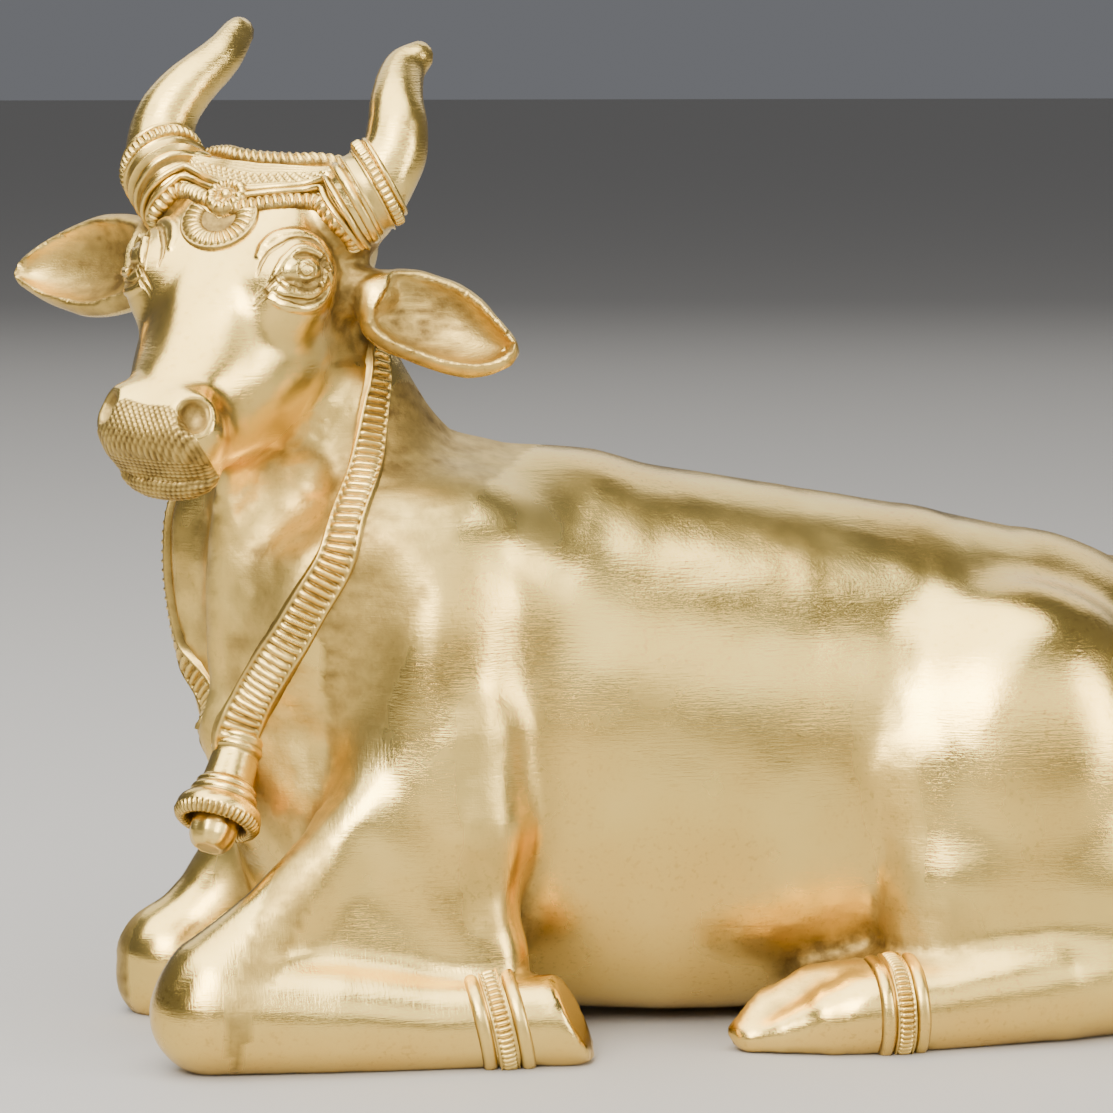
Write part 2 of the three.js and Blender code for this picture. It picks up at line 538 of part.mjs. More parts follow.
// Skin the clay on a grid: one vertex for each sheet of the surface in each cell that it crosses
function skin(lo, hi, h) {
  const block = 4;
  const n = [0, 1, 2].map((i) => Math.ceil((hi[i] - lo[i]) / (h * block)) * block + 1);
  const value = new Float32Array(n[0] * n[1] * n[2]).fill(FAR);
  const at = (i, j, k) => (i * n[1] + j) * n[2] + k;
  const done = new Uint8Array(value.length);
  const reach = h * block * 1.25;
  for (let i = 0; i < n[0] - 1; i += block) {
    for (let j = 0; j < n[1] - 1; j += block) {
      for (let k = 0; k < n[2] - 1; k += block) {
        const c = [lo[0] + (i + block / 2) * h, lo[1] + (j + block / 2) * h, lo[2] + (k + block / 2) * h];
        const half = (block / 2) * h + 0.01;
        const near = animal.filter((f) => {
          const m = f.k + 6 + half;
          return [0, 1, 2].every((a) => c[a] > f.lo[a] - m && c[a] < f.hi[a] + m);
        });
        const mid = field(near, ...c);
        for (let a = 0; a <= block; a++) {
          for (let b = 0; b <= block; b++) {
            for (let e = 0; e <= block; e++) {
              const q = at(i + a, j + b, k + e);
              if (done[q]) continue;
              if (Math.abs(mid) < reach) {
                value[q] = field(near, lo[0] + (i + a) * h, lo[1] + (j + b) * h, lo[2] + (k + e) * h);
                done[q] = 1;
              } else {
                value[q] = mid < 0 ? -FAR : FAR;
              }
            }
          }
        }
      }
    }
  }
  // The surface points of each cell that the boundary crosses, one for each sheet of it
  const cells = new Map();
  const points = [];
  const faces = [];
  const cell = (i, j, k) => {
    const key = at(i, j, k);
    if (cells.has(key)) return cells.get(key);
    const spots = [];
    const sheet = [];
    for (let axis = 0; axis < 3; axis++) {
      for (let s = 0; s < 4; s++) {
        const a = [0, 0, 0];
        a[(axis + 1) % 3] = s & 1;
        a[(axis + 2) % 3] = s >> 1;
        const b = [...a];
        b[axis] = 1;
        const va = value[at(i + a[0], j + a[1], k + a[2])];
        const vb = value[at(i + b[0], j + b[1], k + b[2])];
        const crossed = va < 0 !== vb < 0;
        const t = va / (va - vb);
        spots.push(crossed ? a.map((v, n) => v + t * (b[n] - v)) : null);
        sheet.push(axis * 4 + s);
      }
    }
    const join = (a, b) => {
      const from = sheet[a];
      const to = sheet[b];
      for (let e = 0; e < 12; e++) if (sheet[e] === from) sheet[e] = to;
    };
    for (let axis = 0; axis < 3; axis++) {
      const u = (axis + 1) % 3;
      const v = (axis + 2) % 3;
      for (let side = 0; side < 2; side++) {
        const alongU = (vo) => u * 4 + vo + 2 * side;
        const alongV = (uo) => v * 4 + side + 2 * uo;
        const all = [alongU(0), alongU(1), alongV(0), alongV(1)];
        const hit = all.filter((e) => spots[e]);
        if (hit.length === 2) join(hit[0], hit[1]);
        if (hit.length === 4) {
          for (let q = 0; q < 4; q++) {
            const c = [0, 0, 0];
            c[axis] = side;
            c[u] = q & 1;
            c[v] = q >> 1;
            if (value[at(i + c[0], j + c[1], k + c[2])] < 0) join(alongU(c[v]), alongV(c[u]));
          }
        }
      }
    }
    const out = new Array(12).fill(-1);
    const made = new Map();
    for (let e = 0; e < 12; e++) {
      if (!spots[e]) continue;
      if (!made.has(sheet[e])) {
        const mine = spots.filter((p, n) => p && sheet[n] === sheet[e]);
        const sum = mine.reduce((a, p) => add(a, p), [0, 0, 0]);
        const c = mul(sum, 1 / mine.length);
        made.set(sheet[e], points.length);
        points.push([lo[0] + (i + c[0]) * h, lo[1] + (j + c[1]) * h, lo[2] + (k + c[2]) * h]);
      }
      out[e] = made.get(sheet[e]);
    }
    cells.set(key, out);
    return out;
  };
  for (let i = 1; i < n[0] - 1; i++) {
    for (let j = 1; j < n[1] - 1; j++) {
      for (let k = 1; k < n[2] - 1; k++) {
        const inside = value[at(i, j, k)] < 0;
        for (let axis = 0; axis < 3; axis++) {
          const e = [0, 0, 0];
          e[axis] = 1;
          if (inside === value[at(i + e[0], j + e[1], k + e[2])] < 0) continue;
          const u = [0, 0, 0];
          const v = [0, 0, 0];
          u[(axis + 1) % 3] = 1;
          v[(axis + 2) % 3] = 1;
          const q = axis * 4;
          const ring = [
            cell(i - u[0] - v[0], j - u[1] - v[1], k - u[2] - v[2])[q + 3],
            cell(i - v[0], j - v[1], k - v[2])[q + 2],
            cell(i, j, k)[q],
            cell(i - u[0], j - u[1], k - u[2])[q + 1],
          ];
          if (!inside) ring.reverse();
          faces.push([ring[0], ring[1], ring[2]], [ring[0], ring[2], ring[3]]);
        }
      }
    }
  }
  return { points, faces };
}

// Thin a closed mesh by folding the edges that matter least, keeping more of the head
function thin(mesh, target, weight) {
  const P = mesh.points.map((p) => [...p]);
  const F = mesh.faces.map((f) => [...f]);
  const alive = new Uint8Array(F.length).fill(1);
  const around = P.map(() => new Set());
  const Q = P.map(() => new Float64Array(10));
  const version = new Int32Array(P.length);
  F.forEach((f, id) => {
    const n = cross(sub(P[f[1]], P[f[0]]), sub(P[f[2]], P[f[0]]));
    const area = size(n);
    if (area > 0) {
      const m = mul(n, 1 / area);
      const d = -dot(m, P[f[0]]);
      const w = area * weight(P[f[0]]);
      const q = [m[0] * m[0], m[0] * m[1], m[0] * m[2], m[0] * d, m[1] * m[1], m[1] * m[2], m[1] * d, m[2] * m[2],
        m[2] * d, d * d];
      for (const v of f) for (let i = 0; i < 10; i++) Q[v][i] += q[i] * w;
    }
    for (const v of f) around[v].add(id);
  });
  const error = (q, p) => {
    const [x, y, z] = p;
    return q[0] * x * x + 2 * q[1] * x * y + 2 * q[2] * x * z + 2 * q[3] * x + q[4] * y * y + 2 * q[5] * y * z
      + 2 * q[6] * y + q[7] * z * z + 2 * q[8] * z + q[9];
  };
  const best = (a, b) => {
    const q = new Float64Array(10);
    for (let i = 0; i < 10; i++) q[i] = Q[a][i] + Q[b][i];
    const mid = mul(add(P[a], P[b]), 0.5);
    const trace = (q[0] + q[4] + q[7]) * 1e-4 + 1e-9;
    const A = [[q[0] + trace, q[1], q[2]], [q[1], q[4] + trace, q[5]], [q[2], q[5], q[7] + trace]];
    const r = [trace * mid[0] - q[3], trace * mid[1] - q[6], trace * mid[2] - q[8]];
    const det = dot(A[0], cross(A[1], A[2]));
    let p = mid;
    if (Math.abs(det) > 1e-12) {
      const c0 = cross(A[1], A[2]);
      const c1 = cross(A[2], A[0]);
      const c2 = cross(A[0], A[1]);
      p = mul(add(add(mul(c0, r[0]), mul(c1, r[1])), mul(c2, r[2])), 1 / det);
    }
    if (size(sub(p, mid)) > 2 * size(sub(P[a], P[b]))) p = mid;
    const long = size(sub(P[a], P[b]));
    return { cost: long < 0.2 ? long * 1e-6 : error(q, p) + 1e-5 * long, p: long < 0.2 ? mid : p };
  };
  const heap = [];
  const push = (item) => {
    let i = heap.push(item) - 1;
    while (i > 0) {
      const up = (i - 1) >> 1;
      if (heap[up].cost <= heap[i].cost) break;
      [heap[up], heap[i]] = [heap[i], heap[up]];
      i = up;
    }
  };
  const pop = () => {
    const top = heap[0];
    const end = heap.pop();
    if (heap.length) {
      heap[0] = end;
      let i = 0;
      for (;;) {
        let c = 2 * i + 1;
        if (c >= heap.length) break;
        if (c + 1 < heap.length && heap[c + 1].cost < heap[c].cost) c++;
        if (heap[i].cost <= heap[c].cost) break;
        [heap[i], heap[c]] = [heap[c], heap[i]];
        i = c;
      }
    }
    return top;
  };
  const offer = (a, b) => {
    const { cost, p } = best(a, b);
    push({ cost, p, a, b, va: version[a], vb: version[b] });
  };
  const neighbours = (v) => {
    const out = new Set();
    for (const f of around[v]) for (const w of F[f]) if (w !== v) out.add(w);
    return out;
  };
  for (let v = 0; v < P.length; v++) for (const w of neighbours(v)) if (w > v) offer(v, w);
  let count = F.length;
  while (count > target && heap.length) {
    const { a, b, va, vb, p } = pop();
    if (version[a] !== va || version[b] !== vb) continue;
    const na = neighbours(a);
    const nb = neighbours(b);
    if (!na.has(b)) continue;
    let common = 0;
    for (const v of na) if (nb.has(v)) common++;
    if (common !== 2) continue;
    let good = true;
    for (const v of [a, b]) {
      for (const f of around[v]) {
        const t = F[f];
        if (t.includes(a) && t.includes(b)) continue;
        const c = t.map((w) => (w === v ? p : P[w]));
        const before = cross(sub(P[t[1]], P[t[0]]), sub(P[t[2]], P[t[0]]));
        const after = cross(sub(c[1], c[0]), sub(c[2], c[0]));
        const s = size(after);
        const long = Math.max(size(sub(c[1], c[0])), size(sub(c[2], c[1])), size(sub(c[0], c[2])));
        const sliver = size(before) < 0.02 * long * long;
        if (!sliver && (dot(before, after) < 0.3 * size(before) * s || s < 0.02 * long * long)) {
          good = false;
          break;
        }
      }
      if (!good) break;
    }
    if (!good) continue;
    P[a] = p;
    for (let i = 0; i < 10; i++) Q[a][i] += Q[b][i];
    for (const f of [...around[b]]) {
      if (F[f].includes(a)) {
        alive[f] = 0;
        count--;
        for (const v of F[f]) around[v].delete(f);
      } else {
        F[f] = F[f].map((v) => (v === b ? a : v));
        around[a].add(f);
      }
    }
    around[b].clear();
    version[b]++;
    version[a]++;
    for (const v of neighbours(a)) offer(a, v);
  }
  const index = new Map();
  const points = [];
  const faces = [];
  F.forEach((f, id) => {
    if (!alive[id]) return;
    faces.push(f.map((v) => {
      if (!index.has(v)) {
        index.set(v, points.length);
        points.push(P[v]);
      }
      return index.get(v);
    }));
  });
  return { points, faces };
}

// Closed meshes for the joining and cutting step
function solid(points, faces) {
  return new wasm.Manifold(new wasm.Mesh({
    numProp: 3,
    vertProperties: new Float32Array(points.flat()),
    triVerts: new Uint32Array(faces.flat()),
  }));
}

// A raised band: rings of points joined one to the next, closed on itself or capped at both ends
function hoop(rings, closed) {
  const m = rings[0].length;
  const points = rings.flat();
  const faces = [];
  const last = closed ? rings.length : rings.length - 1;
  for (let i = 0; i < last; i++) {
    const a = i * m;
    const b = ((i + 1) % rings.length) * m;
    for (let j = 0; j < m; j++) {
      const k = (j + 1) % m;
      faces.push([a + j, b + j, b + k], [a + j, b + k, a + k]);
    }
  }
  if (!closed) {
    const end = (rings.length - 1) * m;
    for (let j = 1; j + 1 < m; j++) {
      faces.push([0, j, j + 1]);
      faces.push([end, end + j + 1, end + j]);
    }
  }
  const body = solid(points, faces);
  return body.volume() < 0 ? solid(points, faces.map((f) => [f[0], f[2], f[1]])) : body;
}

// Places along a path at even steps, each with its direction, laid on the clay
function laid(points, count) {
  const at = curve(points.map((p, i) => [i, ...p]));
  const fine = [];
  for (let i = 0; i <= 400; i++) fine.push(at((i / 400) * (points.length - 1)));
  const run = [0];
  for (let i = 1; i < fine.length; i++) run.push(run[i - 1] + size(sub(fine[i], fine[i - 1])));
  const out = [];
  for (let i = 0, j = 0; i < count; i++) {
    const want = (run[400] * i) / (count - 1);
    while (j < 399 && run[j + 1] < want) j++;
    const t = (want - run[j]) / (run[j + 1] - run[j] + 1e-9);
    out.push(settle(add(fine[j], mul(sub(fine[j + 1], fine[j]), t)), 5, 2));
  }
  return out;
}

// A ribbed strap along a path on the clay: half width from w0 to w1, ribs standing out of a low strap
function strap(points, ribs, w0, w1, low, high, sink = 1) {
  const count = 2 * ribs + 1;
  const spots = laid(points, count);
  const rings = spots.map((p, i) => {
    const t = unit(sub(spots[Math.min(i + 1, count - 1)], spots[Math.max(i - 1, 0)]));
    const n = unit(slope(p));
    const b = unit(cross(n, t));
    const w = w0 + ((w1 - w0) * i) / (count - 1);
    const h = i % 2 ? high : low;
    return [[-w, -sink], [-w, low], [0, h], [w, low], [w, -sink]]
      .map(([x, y]) => add(p, add(mul(b, x), mul(n, y))));
  });
  return hoop(rings, false);
}

// A ring around a centre and axis: ribs stand out when there are any
function ring(centre, axis, r, w, h, ribs, steps) {
  const t = unit(axis);
  const a = unit(cross(t, Math.abs(t[2]) < 0.8 ? [0, 0, 1] : [1, 0, 0]));
  const b = cross(t, a);
  const count = ribs ? ribs * 2 : steps;
  const rings = [];
  for (let i = 0; i < count; i++) {
    const g = (2 * Math.PI * i) / count;
    const out = add(mul(a, Math.cos(g)), mul(b, Math.sin(g)));
    const top = ribs ? (i % 2 ? h : h * 0.45) : h;
    const section = ribs ? [[-w, -1.4], [-w, top], [w, top], [w, -1.4]] : [[-w, -1.4], [0, top], [w, -1.4]];
    rings.push(section.map(([x, y]) => add(centre, add(mul(t, x), mul(out, r + y)))));
  }
  return hoop(rings, true);
}

// Neck chain: one strap from the bell up the near side, around the nape and down the far side
const NEAR_STRAND = [
  [-63.6, -15, 55], [-64, -18, 58.5], [-61.2, -21, 65], [-58.2, -26, 72], [-53.6, -33, 82], [-47.6, -33, 92],
  [-42.6, -27, 102], [-39.6, -21, 111], [-37.9, -17, 120], [-36.8, -13.5, 128], [-35.8, -8, 131.5],
];
const FAR_STRAND = [
  [-35.8, -8, 131.5], [-35.8, -3, 132], [-39, 1, 130.5], [-48, 8, 126], [-61, 10, 117], [-71, 6, 105], [-73.8, 3, 92],
  [-72.5, 3, 80], [-70, 1, 71], [-67, -6, 62], [-64, -12, 55],
];
const chain = [
  strap(NEAR_STRAND, 22, 4.2, 2.4, 0.8, 2.2),
  strap(FAR_STRAND, 18, 2.4, 3, 0.8, 2),
];

// Bell: turned about its own axis, hanging forward off the brisket, with the clapper in its mouth
const BELL_TOP = [-63.4, -16.2, 55.6];
const BELL_AXIS = unit([-0.34, -0.44, -0.83]);
const BELL = [
  [3.2, -3], [5, -1.2], [5, 1.6], [4.4, 2.2], [4.7, 8], [6.1, 9.2], [6.2, 11.6], [7.8, 13], [7.9, 15.6], [6.8, 16.8],
  [5.6, 15.4], [4.3, 14.2], [4.3, 19.6], [2.5, 21.2],
];
const bell = (() => {
  const a = unit(cross(BELL_AXIS, [1, 0, 0]));
  const b = cross(BELL_AXIS, a);
  const steps = 18;
  const rings = BELL.map(([r, s]) => {
    const out = [];
    for (let i = 0; i < steps; i++) {
      const g = (2 * Math.PI * i) / steps;
      out.push(
        add(add(BELL_TOP, mul(BELL_AXIS, s)), add(mul(a, r * Math.cos(g)), mul(b, r * Math.sin(g)))));
    }
    return out;
  });
  return hoop(rings, false);
})();
const bellRim = ring(add(BELL_TOP, mul(BELL_AXIS, 14.6)), BELL_AXIS, 7.6, 1.1, 0.9, 22, 0);

// Collar at the root of each horn: a thin roll, a ribbed ring and a wide plain roll toward the brow
const COLLAR = [22.6, -1.2, -3.4];
const COLLAR_AXIS = unit([0.69, -0.45, 0.52]);
function hornRings(side) {
  const axis = headVector(side * COLLAR_AXIS[0], COLLAR_AXIS[1], COLLAR_AXIS[2]);
  const centre = headPoint(side * COLLAR[0], COLLAR[1], COLLAR[2]);
  return [
    ring(add(centre, mul(axis, 1.8)), axis, 6, 0.8, 1.1, 0, 16),
    ring(centre, axis, 6.4, 1.2, 1.5, 20, 0),
    ring(add(centre, mul(axis, -2.4)), axis, 6.9, 1.2, 1.2, 0, 16),
    ring(add(centre, mul(axis, -4.4)), axis, 7.3, 1.2, 0.9, 0, 16),
  ];
}

// Diadem over the brow: a rope on the poll, a plate, a toothed rope below and a round jewel
const both = (points) => {
  const left = points.slice(1).reverse().map(([u, v, w]) => facePoint(-u, v, w));
  return [...left, ...points.map(([u, v, w]) => facePoint(u, v, w))];
};
const diadem = [
  strap(both([[0, 0.5, 0.2], [6, 0, -0.4], [10, -2, -2.5], [15, -3.5, -5]]), 18, 1.5, 1.5, 0.4, 1.5),
  strap(both([[0, 6.5, 2], [6, 5.5, 1.6], [11, 4.5, 0], [16, 4.5, -2]]), 2, 3.6, 3.6, 0.5, 0.9),
  strap(both([[0, 14.5, 3.4], [4, 13.6, 3.4], [8, 12, 2.8], [12, 9.6, 1],
    [16, 9, -1.2], [20, 11.4, -3.5], [22, 14, -8]]),
    27, 1.5, 1.5, 0.5, 1.5),
];
const jewel = (() => {
  const centre = settle(facePoint(-0.8, 18.2, 3.5));
  const n = unit(slope(centre));
  const a = unit(cross(n, upward));
  const b = cross(n, a);
  const steps = 32;
  const petals = (r, h) => {
    const out = [];
    for (let i = 0; i < steps; i++) {
      const g = (2 * Math.PI * i) / steps;
      const q = i % 2 ? 1 : 0;
      const s = r[q];
      out.push(add(centre, add(add(mul(a, s * 1.1 * Math.cos(g)), mul(b, s * Math.sin(g))), mul(n, h[q]))));
    }
    return out;
  };
  return hoop([petals([5.6, 5.9], [-2.5, -2.5]), petals([5.4, 5.9], [0.3, 0.9]),
    petals([3, 3], [1, 1.5])], false);
})();

// Anklets: a ribbed band between two plain ones, above each hoof
const anklet = (centre, axis, r, ribs) => {
  const t = unit(axis);
  return [
    ring(centre, axis, r, 2.3, 1.5, ribs, 0),
    ring(add(centre, mul(t, -3.7)), axis, r + 0.1, 1.4, 1.1, 0, 14),
    ring(add(centre, mul(t, 3.7)), axis, r, 1.4, 1.1, 0, 14),
  ];
};
const anklets = [
  ...anklet([-20.3, -44.2, 7.7], [0.97, -0.07, 0.22], 8.2, 18),
  ...anklet([54, -46.6, 7.6], [-1, 0.02, -0.04], 8.2, 18),
  ...anklet([-20, 33, 7.6], [1, 0.18, 0.1], 8.2, 10),
  ...anklet([54, 46.6, 7.6], [-1, -0.02, -0.04], 8.2, 10),
];

// Skin, draw the vertices onto the clay, thin, add the castings' ornaments and cut the soles flat
const rough = skin([-110, -66, -16], [148, 66, 202], GRID);
rough.points = rough.points.map((p) => settle(p, 1, GRID));
const keen = (p) => {
  const q = sub(p, POLL);
  if (size(q) > 85) return p[2] < 30 ? 1.5 : 1;
  const u = Math.abs(dot(q, across));
  const v = dot(q, downFace);
  const w = dot(q, outFace);
  if (u > 6 && u < 24 && v > 14 && v < 36 && w > -12) return 14;
  return w > -20 ? 5 : 2;
};
const body = thin(rough, BODY_TRIANGLES, keen);
let casting = solid(body.points, body.faces);
for (const piece of [...chain, bell, bellRim, ...hornRings(1), ...hornRings(-1), ...diadem, jewel, ...anklets]) {
  casting = casting.add(piece);
}

// Only the outer shell, without the small pockets shut in under a strap
function outerShell(mesh) {
  const v = mesh.vertProperties;
  const points = [];
  for (let i = 0; i < v.length; i += 3) points.push([v[i], v[i + 1], v[i + 2]]);
  const root = points.map((_, i) => i);
  const find = (i) => {
    let r = i;
    while (root[r] !== r) r = root[r];
    while (root[i] !== r) [root[i], i] = [r, root[i]];
    return r;
  };
  const faces = [];
  for (let i = 0; i < mesh.triVerts.length; i += 3) {
    const f = [mesh.triVerts[i], mesh.triVerts[i + 1], mesh.triVerts[i + 2]];
    faces.push(f);
    root[find(f[0])] = find(f[1]);
    root[find(f[1])] = find(f[2]);
  }
  const count = new Map();
  for (const f of faces) count.set(find(f[0]), (count.get(find(f[0])) || 0) + 1);
  const main = [...count.entries()].sort((a, b) => b[1] - a[1])[0][0];
  const map = new Map();
  const kept = faces.filter((f) => find(f[0]) === main);
  const used = [];
  const out = kept.map((f) => f.map((i) => {
    if (!map.has(i)) {
      map.set(i, used.length);
      used.push(points[i]);
    }
    return map.get(i);
  }));
  return { points: used, faces: out };
}

// A box as a cutter, from a three.js box with its corners merged
function block(lo, hi) {
  const geometry = new THREE.BoxGeometry(hi[0] - lo[0], hi[1] - lo[1], hi[2] - lo[2]);
  geometry.translate((lo[0] + hi[0]) / 2, (lo[1] + hi[1]) / 2, (lo[2] + hi[2]) / 2);
  const position = geometry.getAttribute('position');
  const seen = new Map();
  const points = [];
  const map = [];
  for (let i = 0; i < position.count; i++) {
    const p = [position.getX(i), position.getY(i), position.getZ(i)];
    const key = p.map((v) => v.toFixed(4)).join();
    if (!seen.has(key)) {
      seen.set(key, points.length);
      points.push(p);
    }
    map.push(seen.get(key));
  }
  const index = geometry.getIndex().array;
  const faces = [];
  for (let i = 0; i < index.length; i += 3) faces.push([map[index[i]], map[index[i + 1]], map[index[i + 2]]]);
  return solid(points, faces);
}
casting = casting.subtract(block([-200, -200, -60], [250, 200, 0]));

// The finished casting: thinned once more, its flats made true, as one mesh about the origin
const whole = thin(outerShell(casting.getMesh()), ALL_TRIANGLES, keen);
const moved = [];
for (const [x, y, z] of whole.points) {
  moved.push(x - CENTRE_X, y - CENTRE_Y, Math.abs(z) < 0.05 ? 0 : z);
}
const geometry = new THREE.BufferGeometry();
geometry.setAttribute('position', new THREE.BufferAttribute(new Float32Array(moved), 3));
geometry.setIndex(whole.faces.flat());
geometry.computeVertexNormals();
const brass = new THREE.MeshStandardMaterial({ color: 0xd9b266, roughness: 0.3, metalness: 1 });
const bull = new THREE.Mesh(geometry, brass);
bull.name = 'nandi_bull';

const group = new THREE.Group();
group.add(bull);
export default group;
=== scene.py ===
# Reclining sacred bull (Nandi): one hollow brass casting about 190 mm high. It is shaped in millimetres,
# chest toward -X, head turned toward -Y, and goes over to metres when a mesh is made.
import math
import bpy
import numpy as np
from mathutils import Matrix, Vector


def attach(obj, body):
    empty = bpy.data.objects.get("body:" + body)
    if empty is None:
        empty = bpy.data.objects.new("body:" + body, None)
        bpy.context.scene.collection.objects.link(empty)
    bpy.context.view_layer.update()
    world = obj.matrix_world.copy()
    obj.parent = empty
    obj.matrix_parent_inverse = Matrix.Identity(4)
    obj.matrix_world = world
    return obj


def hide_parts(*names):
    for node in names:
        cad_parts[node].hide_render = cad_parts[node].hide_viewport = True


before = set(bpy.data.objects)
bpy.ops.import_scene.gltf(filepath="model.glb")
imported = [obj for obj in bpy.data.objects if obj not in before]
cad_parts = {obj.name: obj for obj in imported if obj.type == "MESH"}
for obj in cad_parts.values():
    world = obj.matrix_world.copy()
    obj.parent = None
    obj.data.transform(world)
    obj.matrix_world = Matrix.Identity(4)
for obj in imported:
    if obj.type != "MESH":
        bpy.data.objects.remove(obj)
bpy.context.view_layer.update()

# The casting
# One shell of brass, cast over a core and then filed, scraped and buffed. It carries no joints: legs,
# ears, horns and tail are all of a piece with the body, so it is shaped here as lumps of clay that
# run into each other, and skinned as one.
POLL = np.array([-56.7, -10.3, 164.4], np.float32)  # top of the head between the horns
HEAD_TURN = math.radians(37.5)
FACE_FALL = math.radians(51.0)
HEAD_TILT = math.radians(-3.6)
BELLY = 1.3  # height of the flat underside of the belly
FAR = np.float32(12.0)  # distance given to any place well away from the clay


def unit(v):
    v = np.asarray(v, float)
    return v / np.linalg.norm(v, axis=-1, keepdims=True)


def smin(a, b, k):
    h = np.maximum(k - np.abs(a - b), 0) / k
    return np.minimum(a, b) - h * h * np.float32(k * 0.25)


def smax(a, b, k):
    return -smin(-a, -b, k)


class Lump:
    """A lump of clay: its distance, its box, the fillet it joins with, and whether it is cut away."""

    def __init__(self, dist, lo, hi, k, cut=False):
        self.dist = dist
        self.lo = np.array(lo, np.float32)
        self.hi = np.array(hi, np.float32)
        self.k = k
        self.cut = cut


def rod(points, k=2.0, cut=False):
    rows = np.array(points, np.float32)
    centre = rows[:, :3]
    radius = rows[:, 3]

    def dist(p):
        d = None
        for i in range(len(rows) - 1):
            along = centre[i + 1] - centre[i]
            q = p - centre[i]
            t = np.clip((q @ along) / (float(along @ along) + 1e-9), 0, 1)
            q = q - t[:, None] * along
            e = np.sqrt((q * q).sum(1)) - (radius[i] + (radius[i + 1] - radius[i]) * t)
            d = e if d is None else np.minimum(d, e)
        return d

    big = radius.max()
    return Lump(dist, centre.min(0) - big, centre.max(0) + big, k, cut)


def egg(centre, half, k=8.0, pitch=0.0):
    c = np.array(centre, np.float32)
    r = np.array(half, np.float32)
    cp = math.cos(math.radians(pitch))
    sp = math.sin(math.radians(pitch))
    axes = np.array([[cp, 0, -sp], [0, 1, 0], [sp, 0, cp]], np.float32)

    def dist(p):
        q = (p - c) @ axes
        k0 = np.sqrt(((q / r) ** 2).sum(1))
        k1 = np.sqrt(((q / r ** 2) ** 2).sum(1)) + 1e-9
        return k0 * (k0 - 1) / k1

    reach = np.sqrt(((axes * r) ** 2).sum(1))
    return Lump(dist, c - reach, c + reach, k)


def web(a, b, c, r, k=4.0):
    corners = np.array([a, b, c], np.float32)
    sides = np.roll(corners, -1, 0) - corners
    normal = np.cross(sides[0], sides[2])

    def dist(p):
        inside = 0
        nearest = None
        for corner, side in zip(corners, sides):
            q = p - corner
            inside = inside + np.sign(q @ np.cross(side, normal))
            t = np.clip((q @ side) / (side @ side), 0, 1)
            q = q - t[:, None] * side
            e = (q * q).sum(1)
            nearest = e if nearest is None else np.minimum(nearest, e)
        flat = ((p - corners[0]) @ normal) ** 2 / (normal @ normal)
        return np.sqrt(np.where(inside < 2, nearest, flat)) - r

    return Lump(dist, corners.min(0) - r, corners.max(0) + r, k)


def squash(lump, s):
    scale = np.array([1, 1 / s, 1], np.float32)
    even = np.float32(s ** 0.5)
    return Lump(lambda p: lump.dist(p * scale) * even, lump.lo / scale, lump.hi / scale, lump.k)


def curve(rows, x, steps=161):
    """A smooth curve through the rows of a table; the first column is the place along it."""
    rows = np.array(rows, float)
    n = len(rows)
    slope = np.empty_like(rows)
    slope[1:-1] = (rows[2:] - rows[:-2]) / (rows[2:, :1] - rows[:-2, :1])
    slope[0] = (rows[1] - rows[0]) / (rows[1, 0] - rows[0, 0])
    slope[-1] = (rows[-1] - rows[-2]) / (rows[-1, 0] - rows[-2, 0])
    at = np.linspace(rows[0, 0], rows[-1, 0], steps)
    i = np.clip(np.searchsorted(rows[:, 0], at, side="right") - 1, 0, n - 2)
    h = (rows[i + 1, 0] - rows[i, 0])[:, None]
    t = (at - rows[i, 0])[:, None] / h
    y = (2 * t ** 3 - 3 * t ** 2 + 1) * rows[i] + (t ** 3 - 2 * t ** 2 + t) * h * slope[i]
    y = y + (3 * t ** 2 - 2 * t ** 3) * rows[i + 1] + (t ** 3 - t ** 2) * h * slope[i + 1]
    return [np.interp(x, at, y[:, j]).astype(np.float32) for j in range(1, rows.shape[1])]


def skull(rows, start, end, k):
    """Rows down the face: top height, half width at the top, widest half width and its height, jaw."""
    def dist(p):
        u, v, w = np.abs(p[:, 0]), p[:, 1], p[:, 2]
        wt, ut, um, wm, uj, wb = curve(rows, v)

        def side(u0, w0, u1, w1):
            du, dw = u1 - u0, w1 - w0
            return ((w - w0) * du - (u - u0) * dw) / np.sqrt(du * du + dw * dw)

        d = smax(w - wt, side(ut, wt, um, wm), 5)
        d = smax(d, side(um, wm, uj, wb), 8)
        d = smax(d, wb - w, 7)
        return smax(smax(d, v - end, 4), start - v, 4)

    return Lump(dist, (-26, start - 2, -42), (26, end + 2, 12), k)


def column(rows, k):
    """Rows up the neck: centre x and y, half depth, half width, turn in degrees."""
    table = np.array(rows, float)

    def dist(p):
        z = p[:, 2]
        cx, cy, a, b, turn = curve(rows, z)
        turn = np.radians(turn)
        x, y = p[:, 0] - cx, p[:, 1] - cy
        f = -x * np.cos(turn) - y * np.sin(turn)
        s = x * np.sin(turn) - y * np.cos(turn)
        k0 = np.sqrt((f / a) ** 2 + (s / b) ** 2)
        k1 = np.sqrt((f / a ** 2) ** 2 + (s / b ** 2) ** 2) + 1e-6
        d = np.where(k0 < 1e-3, -np.minimum(a, b), k0 * (k0 - 1) / k1).astype(np.float32)
        return smax(smax(d, z - table[-1, 0], 6), table[0, 0] - z, 6)

    m = table[:, 3:5].max() + 1
    lo = (table[:, 1].min() - m, table[:, 2].min() - m, table[0, 0] - 1)
    hi = (table[:, 1].max() + m, table[:, 2].max() + m, table[-1, 0] + 1)
    return Lump(dist, lo, hi, k)


